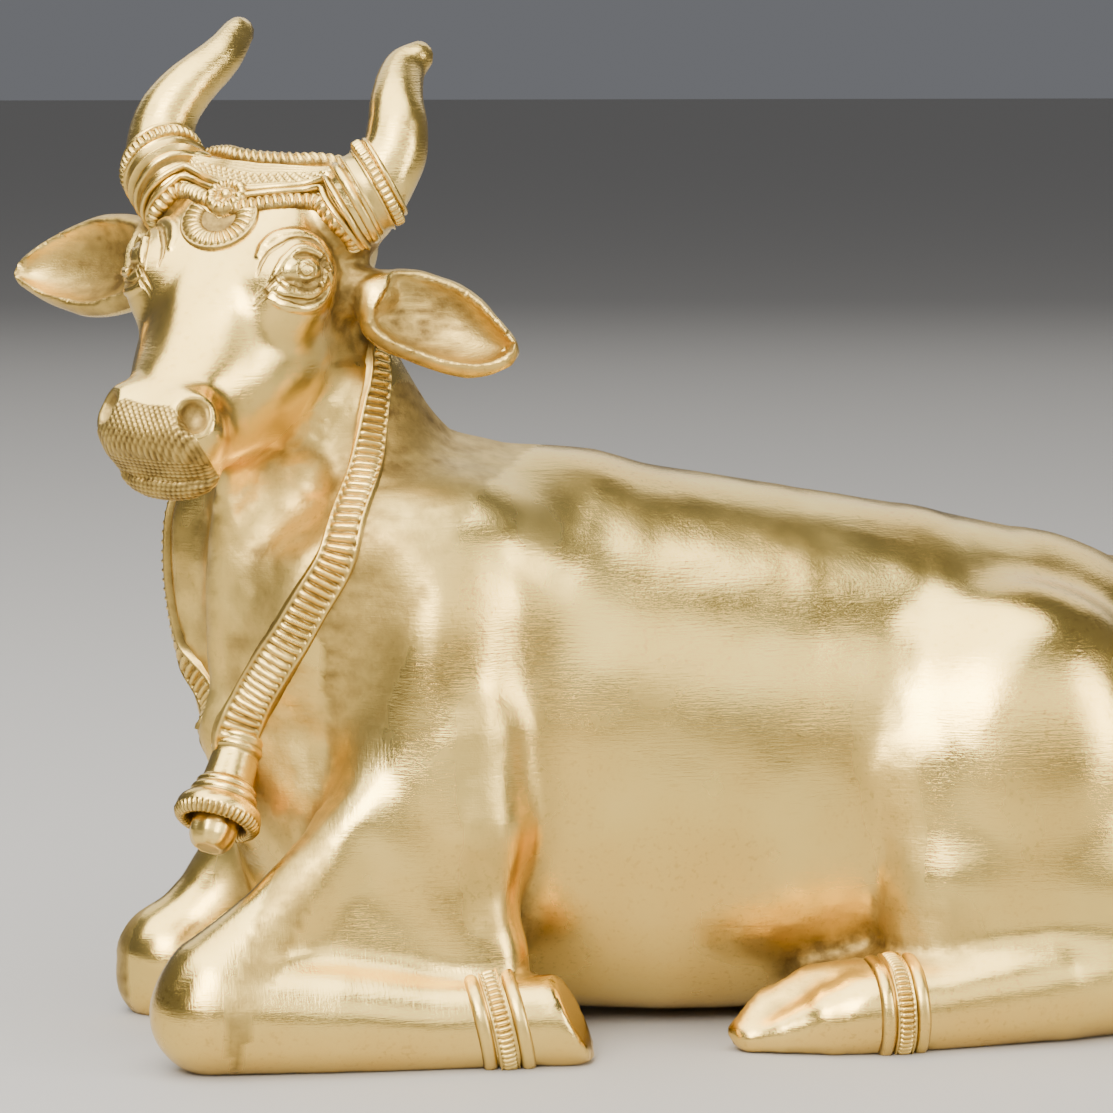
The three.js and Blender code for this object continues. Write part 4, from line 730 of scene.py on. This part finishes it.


# Brass: pale gold where it is buffed, rougher on the cast skin; browner and rougher in the hollows, the brown
# there being painted shade and patina
def brass_material():
    material = bpy.data.materials.new("brass")
    material.use_nodes = True
    nodes = material.node_tree.nodes
    links = material.node_tree.links
    shader = nodes["Principled BSDF"]
    shader.inputs["Metallic"].default_value = 1.0

    def node(kind, **values):
        n = nodes.new("ShaderNode" + kind)
        for key, value in values.items():
            setattr(n, key, value)
        return n

    def noise_node(vector, scale, detail, rough=0.5):
        n = node("TexNoise")
        n.inputs["Scale"].default_value = scale
        n.inputs["Detail"].default_value = detail
        n.inputs["Roughness"].default_value = rough
        links.new(vector, n.inputs["Vector"])
        return n.outputs["Fac"]

    def ramp(value, lo, hi, to_lo=0.0, to_hi=1.0):
        n = node("MapRange")
        for name, x in zip(("From Min", "From Max", "To Min", "To Max"), (lo, hi, to_lo, to_hi)):
            n.inputs[name].default_value = x
        links.new(value, n.inputs["Value"])
        return n.outputs["Result"]

    def combine(kind, a, b):
        n = node("Math", operation=kind)
        for socket, x in zip(n.inputs, (a, b)):
            if isinstance(x, float):
                socket.default_value = x
            else:
                links.new(x, socket)
        return n.outputs[0]

    def mix(fac, a, b):
        n = node("Mix", data_type="RGBA")
        links.new(fac, n.inputs["Factor"])
        for name, x in (("A", a), ("B", b)):
            socket = [s for s in n.inputs if s.name == name and s.type == "RGBA"][0]
            if isinstance(x, tuple):
                socket.default_value = (*x, 1)
            else:
                links.new(x, socket)
        return [s for s in n.outputs if s.type == "RGBA"][0]

    place = node("TexCoord").outputs["Object"]
    patina_and_shade = node("Attribute", attribute_name="patina_and_shade").outputs["Fac"]
    cast_skin = node("Attribute", attribute_name="cast_skin").outputs["Fac"]
    tool = node("SeparateXYZ")
    links.new(node("Attribute", attribute_name="strokes").outputs["Vector"], tool.inputs[0])

    blotch = ramp(noise_node(place, 45, 3), 0.35, 0.65)
    colour = mix(blotch, (0.92, 0.66, 0.19), (0.86, 0.58, 0.15))
    speck = ramp(noise_node(place, 900, 2, 0.6), 0.56, 0.70)
    colour = mix(combine("MULTIPLY", speck, combine("MULTIPLY", blotch, 0.45)), colour, (0.48, 0.30, 0.07))
    # Painted shade and patina: the hollows' attribute turns the colour toward dark brown
    dark = combine("MULTIPLY", patina_and_shade, ramp(noise_node(place, 260, 4, 0.6), 0.25, 0.6, 0.55, 1.0))
    colour = mix(dark, colour, (0.16, 0.10, 0.03))
    links.new(colour, shader.inputs["Base Color"])

    buffed = ramp(noise_node(place, 60, 4), 0.3, 0.7, 0.16, 0.29)
    dull = combine("ADD", buffed, combine("MULTIPLY", cast_skin, 0.16))
    links.new(combine("ADD", dull, combine("MULTIPLY", dark, 0.25)), shader.inputs["Roughness"])

    def lines(turn, scale, amount):
        n = node("Mapping")
        n.inputs["Rotation"].default_value = turn
        n.inputs["Scale"].default_value = scale
        links.new(place, n.inputs["Vector"])
        return combine("MULTIPLY", noise_node(n.outputs[0], 1.0, 3, 0.7), amount)

    cuts = combine("ADD", lines((0, 0, 0.66), (160, 260, 2600), tool.outputs[0]),
                   lines((0, 0.2, 0.66), (160, 2400, 2400), tool.outputs[1]))
    cuts = combine("ADD", cuts, lines((0, 0.75, 0), (2400, 600, 220), tool.outputs[2]))
    cuts = combine("ADD", cuts, lines((0, 0.3, 0), (200, 300, 2600), 0.45))
    grain = combine("MULTIPLY", noise_node(place, 1400, 3, 0.7), 0.45)
    lumps = combine("MULTIPLY", noise_node(place, 520, 3, 0.65), combine("MULTIPLY", cast_skin, 1.6))
    bump = node("Bump")
    bump.inputs["Strength"].default_value = 0.7
    bump.inputs["Distance"].default_value = 0.00025
    pitted = combine("MULTIPLY", combine("ADD", grain, lumps), 0.4)
    links.new(combine("ADD", combine("MULTIPLY", cuts, 0.5), pitted), bump.inputs["Height"])
    links.new(bump.outputs[0], shader.inputs["Normal"])
    return material


brass = brass_material()
MIDDLE = 17.0  # where the middle of the bull's length lies along X while it is shaped, in mm

def into_scene(name, data):
    thing = bpy.data.objects.new(name, data)
    bpy.context.scene.collection.objects.link(thing)
    return thing


def make_piece(name, points, faces, patina_and_shade, cast_skin=0.0, strokes=(0.0, 0.0, 0.0)):
    """A mesh from millimetres, with what its brass needs, riding on the one body in place of the casting."""
    shape = bpy.data.meshes.new(name)
    metres = (np.asarray(points, float) - (MIDDLE, 0, 0)) / 1000
    shape.from_pydata(metres.tolist(), [], faces)
    shape.update()
    shape.shade_smooth()
    n = len(metres)
    for label, kind, word, value, size in (
            ("patina_and_shade", "FLOAT", "value", patina_and_shade, (n,)), ("cast_skin", "FLOAT", "value", cast_skin, (n,)),
            ("strokes", "FLOAT_VECTOR", "vector", strokes, (n, 3))):
        data = shape.attributes.new(label, kind, "POINT").data
        data.foreach_set(word, np.broadcast_to(np.asarray(value, np.float32), size).ravel().copy())
    shape.materials.append(brass)
    piece = into_scene(name, shape)
    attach(piece, "root")
    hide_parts("nandi_bull")


# Patina and painted shade in all that is shut in and along the creases of the legs, in patches on the throat
# and under the jaw, and over the nose pad, darkest between its cuts
patches = step(-0.2, 0.5, noise(points, 4.0, 5))
patina_and_shade = np.clip(step(0.08, 0.6, shut) * 0.95 + 0.22 * creases + 0.4 * throat * patches, 0, 1)
patina_and_shade = np.maximum(patina_and_shade, pad * (0.85 - 0.4 * hatch).clip(0.5, 1))

# Painted shade in the nostril, and in the cup of each ear, darker toward its root and deeper in the cup
pit = np.sqrt(((np.stack([np.abs(u), v, w], 1) - nose_point(0, 0, -0.6)) ** 2).sum(1))
patina_and_shade = np.maximum(patina_and_shade, 0.95 * step(3.8, 2.2, pit))
for root, tip, side in ((near_root, near_tip, NEAR_OPEN), (far_root, far_tip, FAR_OPEN)):
    e1 = unit(tip - root)
    e3 = unit(side - (side @ e1) * e1)
    along = (points - root) @ e1 / np.linalg.norm(tip - root)
    deep = (points - root) @ e3
    cup = (normals @ e3 > 0.1) & (deep < 0) & (along > -0.05) & (along < 1.02) & (np.abs(heading[:, 0]) > 23)
    cup_shade = 0.25 + step(0.95, 0.1, along) * 0.55 + 0.45 * step(-1.0, -4.5, deep)
    streak = 0.75 + 0.25 * noise(points @ np.array([[1, 0, 0], [0, 1, 0], [0, 0, 3]]), 3.0, 7)
    patina_and_shade = np.maximum(patina_and_shade, cup * cup_shade * streak)
make_piece("bull", points, faces, patina_and_shade, np.maximum(np.maximum(cast, 0.5 * pad), 0.8 * patina_and_shade), strokes)

# Neck chain
# Cast on the neck as a flat band of close ribs between two smooth borders. It rises from the bell on
# the near side, passes round the nape under the ears and comes down the far edge of the dewlap.
def lay(path, gap):
    """Stations along a path at even gaps, drawn onto the clay: places, sideways and outward directions."""
    rows = [(i, *p) for i, p in enumerate(path)]
    fine = np.stack(curve(rows, np.linspace(0, len(path) - 1, 900), 900), 1)
    run = np.concatenate([[0], np.cumsum(np.linalg.norm(np.diff(fine, axis=0), axis=1))])
    at = np.linspace(0, run[-1], int(run[-1] / gap) + 1)
    spots = np.stack([np.interp(at, run, fine[:, j]) for j in range(3)], 1)
    spots = settle(bull, spots, 5, 2).astype(float)
    out = outward(spots)
    wide = max(3, int(2.2 / gap) | 1)
    soft = np.ones(wide) / wide

    def even(a):
        grown = np.concatenate([np.repeat(a[:1], wide // 2, 0), a, np.repeat(a[-1:], wide // 2, 0)])
        return np.stack([np.convolve(grown[:, j], soft, "valid") for j in range(3)], 1)

    spots, out = even(spots), unit(even(out))
    along = unit(np.gradient(spots, axis=0))
    return spots, unit(np.cross(out, along)), out, at


def sheet_faces(n, m, round_n=False):
    """Quads over n rows of m points; round_n joins the last row to the first."""
    i, j = np.meshgrid(np.arange(n if round_n else n - 1), np.arange(m - 1), indexing="ij")
    i, j = i.ravel(), j.ravel()
    k = (i + 1) % n
    return np.stack([i * m + j, k * m + j, k * m + j + 1, i * m + j + 1], 1).tolist()


def strap(name, path, width, height, gap=0.22, columns=25, sink=0.9):
    """A raised band along a path: height gives its relief at a place across (-1 to 1) and along (mm)."""
    spots, side, out, at = lay(path, gap)
    x = np.linspace(-1.12, 1.12, columns)
    half = np.interp(at / at[-1], *zip(*width))
    place, run = np.meshgrid(x, at)
    h = np.where(np.abs(place) <= 1.0, height(place, run), -sink)
    across_mm = half[:, None] * np.clip(x, -1.04, 1.04)
    p = spots[:, None] + side[:, None] * across_mm[..., None] + out[:, None] * h[..., None]
    p = p.reshape(-1, 3)
    p[:, 2] = np.maximum(p[:, 2], 0)
    # Painted shade and patina in the low places of the relief, between the ribs and at the sunk edges
    low = 1 - step(0.15, 0.95, h.ravel() / max(h.max(), 1e-6))
    make_piece(name, p, sheet_faces(len(at), columns), np.clip(1.2 * low + 0.08, 0, 1), 0.25)


def dome(x, power=2):
    """A rounded top of height 1 that comes down to 0 at x = -1 and x = 1."""
    return np.sqrt(np.clip(1 - x ** power, 0, 1))


def chain_relief(x, run):
    border = 1.25 * dome((np.abs(x) - 0.84) / 0.15)
    pulse = np.abs(np.sin(np.pi * (run / 1.75 + 0.18 * x)))
    ribs = (0.35 + 1.25 * pulse ** 0.7) * dome(x / 0.86, 4)
    return np.maximum(np.maximum(border, ribs), 0.25)


near_strand = [
    (-63.6, -15, 55), (-64, -18, 58.5), (-61.2, -21, 65), (-58.2, -26, 72), (-53.6, -33, 82),
    (-47.6, -33, 92), (-42.6, -27, 102), (-39.6, -21, 111), (-37.9, -17, 120), (-36.8, -13.5, 128),
    (-35.8, -8, 131.5),
]
far_strand = [
    (-35.8, -8, 131.5), (-35.8, -3, 132), (-39, 1, 130.5), (-48, 8, 126), (-61, 10, 117), (-71, 6, 105),
    (-73.8, 3, 92), (-72.5, 3, 80), (-70, 1, 71), (-67, -6, 62), (-64, -12, 55),
]
strap("chain_near", near_strand, [(0, 4.5), (0.5, 3.7), (1, 2.6)], chain_relief)
strap("chain_far", far_strand, [(0, 2.6), (0.5, 2.6), (1, 3.0)], chain_relief)

# Bell and clapper
# A turned bell cast on the brisket where the strands meet: collar, plain barrel, two mouldings and a
# lip cut with close flutes. The clapper is a faceted knob that fills most of the mouth.
bell_top = np.array([-63.4, -16.2, 55.6])
bell_axis = unit([-0.34, -0.44, -0.83])


def turned(name, profile, steps, shape, patina_and_shade, cast_skin=0.1):
    """A turned form about the bell's axis: rows of radius and distance down it, made finer."""
    rows = np.array(profile, float)
    run = np.concatenate([[0], np.cumsum(np.linalg.norm(np.diff(rows, axis=0), axis=1))])
    at = np.linspace(0, run[-1], int(run[-1] / 0.22))
    r, s = np.interp(at, run, rows[:, 0]), np.interp(at, run, rows[:, 1])
    for _ in range(2):
        r[1:-1] = (r[:-2] + 2 * r[1:-1] + r[2:]) / 4
        s[1:-1] = (s[:-2] + 2 * s[1:-1] + s[2:]) / 4
    g = np.linspace(0, 2 * math.pi, steps, endpoint=False)
    one = unit(np.cross(bell_axis, [1, 0, 0]))
    two = np.cross(bell_axis, one)
    radius = shape(r[None], s[None], g[:, None])
    out = one * np.cos(g)[:, None, None] + two * np.sin(g)[:, None, None]
    p = bell_top + bell_axis * s[None, :, None] + radius[..., None] * out
    # Painted shade and patina over the turned form, from the function given for it
    shade = np.broadcast_to(patina_and_shade(r[None], s[None], g[:, None]), radius.shape)
    make_piece(name, p.reshape(-1, 3), sheet_faces(steps, len(r), True), shade.ravel(), cast_skin)


FLUTES = 44  # round the lip of the bell


def lip(r, s, g):
    return r + 0.26 * step(14.3, 15.0, s) * np.cos(FLUTES * g) * (r > 6)


# Painted shade inside the mouth of the bell, and patina and painted shade in the grooves of the mouldings and
# in the valleys of the flutes
def bell_patina_and_shade(r, s, g):
    inside = step(16.4, 15.2, s) * (s > 13.0) * (r < 7.0)
    grooves = sum(np.exp(-((s - q) / 0.28) ** 2) for q in (0.55, 2.1, 7.9, 9.4, 11.2))
    flutes = step(14.2, 14.8, s) * (0.5 - 0.5 * np.cos(FLUTES * g)) * 0.9
    return np.clip(0.85 * inside + 0.8 * grooves + flutes, 0, 1)


turned("bell", [
    (3.2, -3.4), (4.5, -2.0), (5.2, -1.3), (5.4, -0.4), (4.9, 0.4), (5.1, 1.0), (5.0, 1.6), (4.5, 2.0),
    (4.45, 2.6), (4.6, 5.0), (4.85, 7.5), (5.0, 7.9), (5.6, 8.2), (5.8, 8.7), (5.5, 9.3), (6.0, 9.6),
    (6.35, 10.1), (6.3, 10.8),
    (6.0, 11.2), (6.9, 11.7), (7.6, 12.4), (8.0, 13.3), (8.1, 14.3), (7.9, 15.3), (7.4, 16.1), (6.7, 16.5),
    (5.9, 16.2), (5.4, 15.0), (5.0, 13.4), (3.0, 13.0),
], 240, lip, bell_patina_and_shade)


def knob(r, s, g):
    return r * (1 - 0.035 * np.cos(8 * g) * step(15.5, 17.0, s))


# Painted shade on the clapper, up inside the bell and under the knob
def knob_shade(r, s, g):
    return np.clip(0.9 * step(16.8, 14.5, s) + 0.5 * (r < 2.1), 0, 1)


turned("clapper", [
    (3.6, 12.5), (4.1, 13.6), (4.35, 15.4), (4.45, 17.2), (4.2, 18.8), (3.5, 20.1), (2.8, 20.8), (2.3, 21.0),
    (2.1, 20.8), (1.2, 20.75), (0.05, 20.75),
], 96, knob, knob_shade, 0.5)

# Horn rings
# A collar cast round the root of each horn: a thin roll, a band of close ribs, a wide waisted band and,
# nearest the brow, one more smooth roll.
def ring(name, centre, axis, radius, half, height, steps=220, columns=15, sink=1.2, floor=False):
    """A band round a horn or a leg that follows the clay: height gives its relief across and round."""
    t = unit(axis)
    one = unit(np.cross(t, [0, 0, 1] if abs(t[2]) < 0.8 else [1, 0, 0]))
    two = np.cross(t, one)
    g = np.linspace(0, 2 * math.pi, steps, endpoint=False)
    out = one * np.cos(g)[:, None] + two * np.sin(g)[:, None]
    base = np.array(centre) + out * radius
    drawn = settle(bull, base, 3, 1.2).astype(float)
    reach = np.clip(((drawn - centre) * out).sum(1), radius - 1.6, radius + 1.2)
    for _ in range(6):
        reach = (np.roll(reach, 1) + 2 * reach + np.roll(reach, -1)) / 4
    x = np.linspace(-1.15, 1.15, columns)
    place, turn = np.meshgrid(x, g)
    h = np.where(np.abs(place) <= 1.0, height(place, turn), -sink)
    across_mm = half * np.clip(x, -1.05, 1.05)
    p = np.array(centre) + out[:, None] * (reach[:, None] + h)[..., None] + t * across_mm[None, :, None]
    p = p.reshape(-1, 3)
    if floor:
        p[:, 2] = np.maximum(p[:, 2], 0)
    # Painted shade and patina in the low places of the relief, between the ribs and at the sunk edges
    low = 1 - step(0.1, 0.9, h.ravel() / h.max())
    make_piece(name, p, sheet_faces(steps, columns, True), np.clip(1.2 * low + 0.08, 0, 1), 0.2)


def roll(top):
    return lambda x, g: top * dome(x) ** 0.8 + 0.02 * np.sin(9 * g)


def cogged(top, count, deep):
    def height(x, g):
        ribs = np.abs(np.sin(count * g / 2 + 0.15 * x)) ** 0.6
        return dome(x, 4) * (top - deep + deep * ribs)

    return height


def waisted(x, g):
    edges = 1.25 * np.sqrt(np.clip(1 - ((np.abs(x) - 0.86) / 0.2) ** 2, 0.1, 1))
    return np.where(np.abs(x) > 0.72, edges, 0.75 + 0.25 * x ** 2)


collar_axis = unit([0.69, -0.45, 0.52])
for side, word in ((1, "near"), (-1, "far")):
    centre = head_point(side * 22.6, -1.2, -3.4).astype(float)
    axis = np.array([side * collar_axis[0], collar_axis[1], collar_axis[2]]) @ HEADING.astype(float)
    for shift, r, half, height, label, steps in (
            (1.6, 5.9, 0.65, roll(1.1), "roll", 160), (0.0, 6.3, 1.2, cogged(1.5, 40, 0.6), "ribbed", 320),
            (-2.6, 6.8, 1.35, waisted, "band", 160), (-5.4, 7.6, 0.9, roll(0.9), "root", 160)):
        ring(f"horn_ring_{word}_{label}", centre + axis * shift, axis, r, half, height, steps, 21)

# Brow band
# Cast on the forehead between the horns: a rope over the poll, a plate of fine lines and small
# lozenges, two smooth rolls and a toothed rope below, and in the middle a rosette over a fluted fan.
def on_brow(points):
    return [face_point(*p) for p in points]


def mirrored(points):
    return [(-u, v, w) for u, v, w in points[:0:-1]] + list(points)


def twist(top, pitch, lean, deep):
    def height(x, run):
        turns = np.abs(np.sin(np.pi * (run / pitch + lean * x)))
        return dome(x) * (top - deep + deep * turns ** 0.7)

    return height


poll_line = mirrored([(0, 0.3, 0.2), (6, -0.2, -0.4), (10, -2, -2.5), (15, -3.5, -5)])
strap("brow_rope", on_brow(poll_line), [(0, 1.7), (1, 1.7)], twist(1.7, 1.5, 0.55, 0.85), 0.15, 17)
tooth_line = mirrored([(0, 14.8, 3.4), (4, 13.9, 3.4), (8, 12.4, 2.8), (12, 10.2, 1), (16, 9.8, -1.2),
                       (19.6, 12.2, -3.5), (21.6, 15, -8)])
strap("brow_teeth", on_brow(tooth_line), [(0, 1.6), (1, 1.6)], twist(1.45, 1.45, 0.12, 0.85), 0.15, 17)
for label, shift in (("upper", -4.3), ("lower", -2.6)):
    line = [(p[0], p[1] + shift, p[2]) for p in tooth_line]
    strap(f"brow_roll_{label}", on_brow(line), [(0, 0.75), (1, 0.75)], lambda x, run: 1.15 * dome(x), 0.3, 11)


def brow_patch(name, u, v, height, sink=0.8):
    """A sheet of relief on the forehead, given over the face's across and down; it is sunk where it ends."""
    uu, vv = np.meshgrid(u, v, indexing="ij")
    flat = np.stack([uu.ravel(), vv.ravel(), np.full(uu.size, 3.0)], 1) @ FACE.astype(float) + POLL
    spots = settle(bull, flat, 4, 2).astype(float)
    out = outward(spots)
    h = height(uu, vv).ravel()
    # Painted shade and patina in the low places of the relief
    low = 1 - step(0.1, 0.85, h / h.max())
    shown = np.where(h > 0, h, -sink)
    patina_and_shade = np.clip(1.2 * low + 0.1, 0, 1) * (h > 0)
    make_piece(name, spots + out * shown[:, None], sheet_faces(len(u), len(v)), patina_and_shade, 0.25)


def plate(u, v):
    top = np.interp(np.abs(u), [0, 6, 10, 14], [1.6, 1.2, 0.0, -1.0])
    low = np.interp(np.abs(u), [0, 4, 8, 12, 14], [11.0, 10.0, 8.4, 6.2, 5.6])
    t = (v - top) / (low - top)
    lines = 0.45 + 0.35 * np.abs(np.sin(np.pi * t * 9))
    rising, falling = np.pi * (u / 1.5 + t * 4.5), np.pi * (u / 1.5 - t * 4.5)
    lozenge = 0.45 + 0.45 * np.abs(np.sin(rising) * np.sin(falling))
    h = np.where((t > 0.42) & (t < 0.78), lozenge, lines)
    return np.where((t > 0) & (t < 1) & (np.abs(u) < 13.6), h, -1)


brow_patch("brow_plate", np.arange(-14.5, 14.6, 0.2), np.arange(-2, 12.5, 0.2), plate)


def fan(u, v):
    x, y = u + 1.7, v - 17.4
    r = np.hypot(x / 1.12, y)
    g = np.arctan2(x, y)
    flutes = 0.75 + 0.6 * np.abs(np.cos(g * 15)) ** 0.8
    h = flutes * dome((r - 4.8) / 1.8)
    rim = 0.7 * dome((r - 6.6) / 0.42)
    return np.where((r < 7.02) & (np.abs(g) < 2.0), np.maximum(np.maximum(h, rim), 0.12), -1)


def rosette(u, v):
    x, y = u + 1.9, v - 12.6
    r = np.hypot(x, y)
    g = np.arctan2(x, y)
    petals = 1.5 + 0.5 * np.abs(np.cos(g * 6.5))
    h = petals * dome((r - 2.9) / 1.25)
    boss = 2.0 * dome(r / 1.5)
    return np.where(r < 4.15, np.maximum(np.maximum(h, boss), 0.9), -1)


brow_patch("brow_fan", np.arange(-10, 6.6, 0.14), np.arange(9.8, 25, 0.14), fan)
brow_patch("brow_rosette", np.arange(-6.4, 2.7, 0.13), np.arange(8.1, 17.2, 0.13), rosette)

# Anklets
# Above each hoof a band of small ribs between two fine lines, with a plain convex band on each side.
def beaded(x, g):
    ribs = np.abs(np.sin(g * 27)) ** 0.6 * dome(x / 0.72, 4)
    border = dome((np.abs(x) - 0.86) / 0.13)
    relief = np.maximum(np.maximum(0.5 + ribs, 1.35 * border), 0.35)
    return relief * np.where(np.abs(x) > 0.99, 0.4, 1)


SHANK = 8.1  # radius of the leg under an anklet
for word, centre, axis in (
        ("near_fore", (-20.3, -44.2, 7.7), (0.97, -0.07, 0.22)),
        ("near_hind", (54, -46.6, 7.6), (-1, 0.02, -0.04)),
        ("far_fore", (-20, 33, 7.6), (1, 0.18, 0.1)),
        ("far_hind", (54, 46.6, 7.6), (-1, -0.02, -0.04))):
    t = unit(axis)
    ring(f"anklet_{word}", centre, axis, SHANK, 1.9, beaded, 324, 21, floor=True)
    ring(f"anklet_{word}_upper", centre - t * 3.4, axis, SHANK, 1.35, roll(1.1), 160, 13, floor=True)
    ring(f"anklet_{word}_lower", centre + t * 3.4, axis, SHANK, 1.35, roll(1.1), 160, 13, floor=True)

# Floor, light and camera
# A pale floor and a dim room with soft daylight; a soft box at each side in front, a wide one behind the
# camera, one overhead and one behind the bull; and a long lens at the photograph's angle.
floor_mesh = bpy.data.meshes.new("floor")
floor_mesh.from_pydata([(-20, -20, 0), (20, -20, 0), (20, 20, 0), (-20, 20, 0)], [], [(0, 1, 2, 3)])
floor = into_scene("floor", floor_mesh)
floor_paint = bpy.data.materials.new("floor_paint")
floor_paint.use_nodes = True
floor_shader = floor_paint.node_tree.nodes["Principled BSDF"]
floor_shader.inputs["Base Color"].default_value = (0.36, 0.345, 0.32, 1)
floor_shader.inputs["Roughness"].default_value = 0.7
floor_mesh.materials.append(floor_paint)

world = bpy.data.worlds.new("room")
world.use_nodes = True
world.node_tree.nodes["Background"].inputs["Color"].default_value = (0.36, 0.37, 0.40, 1)
world.node_tree.nodes["Background"].inputs["Strength"].default_value = 0.42
bpy.context.scene.world = world


def aimed(direction):
    """The turn of a light or camera that looks along a direction."""
    return direction.to_track_quat("-Z", "Y").to_euler()


def soft_box(name, place, aim, width, height, watts, colour=(1, 1, 1)):
    data = bpy.data.lights.new(name, "AREA")
    data.shape = "RECTANGLE"
    data.size = width
    data.size_y = height
    data.energy = watts
    data.color = colour
    light = into_scene(name, data)
    light.location = place
    light.rotation_euler = aimed(Vector(aim) - Vector(place))


sun_data = bpy.data.lights.new("day", "SUN")
sun_data.angle = math.radians(50)
sun_data.energy = 0.3
sun = into_scene("day", sun_data)
sun.rotation_euler = aimed(Vector((0.35, 0.45, -1)))

soft_box("key", (-0.60, -0.95, 0.75), (0, 0, 0.09), 0.75, 0.6, 22, (1.0, 0.97, 0.93))
soft_box("fill", (0.95, -0.75, 0.45), (0, 0, 0.07), 0.35, 0.7, 8, (1.0, 0.98, 0.95))
soft_box("wall", (0.15, -2.3, 1.25), (0, 0, 0.09), 3.6, 1.5, 34, (1.0, 0.98, 0.95))
soft_box("top", (-0.28, -0.18, 1.05), (-0.05, 0, 0.1), 1.5, 1.25, 33)
soft_box("back", (0.3, 1.7, 1.35), (0, 0, 0.1), 3.0, 1.3, 17)

SENSOR = 36
DISTANCE = 900  # mm from the middle of the picture
PICTURE = 1113 * 0.19  # mm across the picture at that distance: its pixels times the size of one
camera_data = bpy.data.cameras.new("camera")
camera_data.sensor_width = SENSOR
camera_data.lens = SENSOR * DISTANCE / PICTURE
camera_data.clip_start = 0.01
camera_data.clip_end = 50
camera = into_scene("camera", camera_data)
round_by, raised_by = math.radians(-12), math.radians(6)
back = Vector((math.sin(round_by) * math.cos(raised_by), -math.cos(round_by) * math.cos(raised_by),
               math.sin(raised_by)))
camera.location = Vector((-0.0170, 0, 0.08776)) + back * (DISTANCE / 1000)
camera.rotation_euler = aimed(-back)
bpy.context.scene.camera = camera
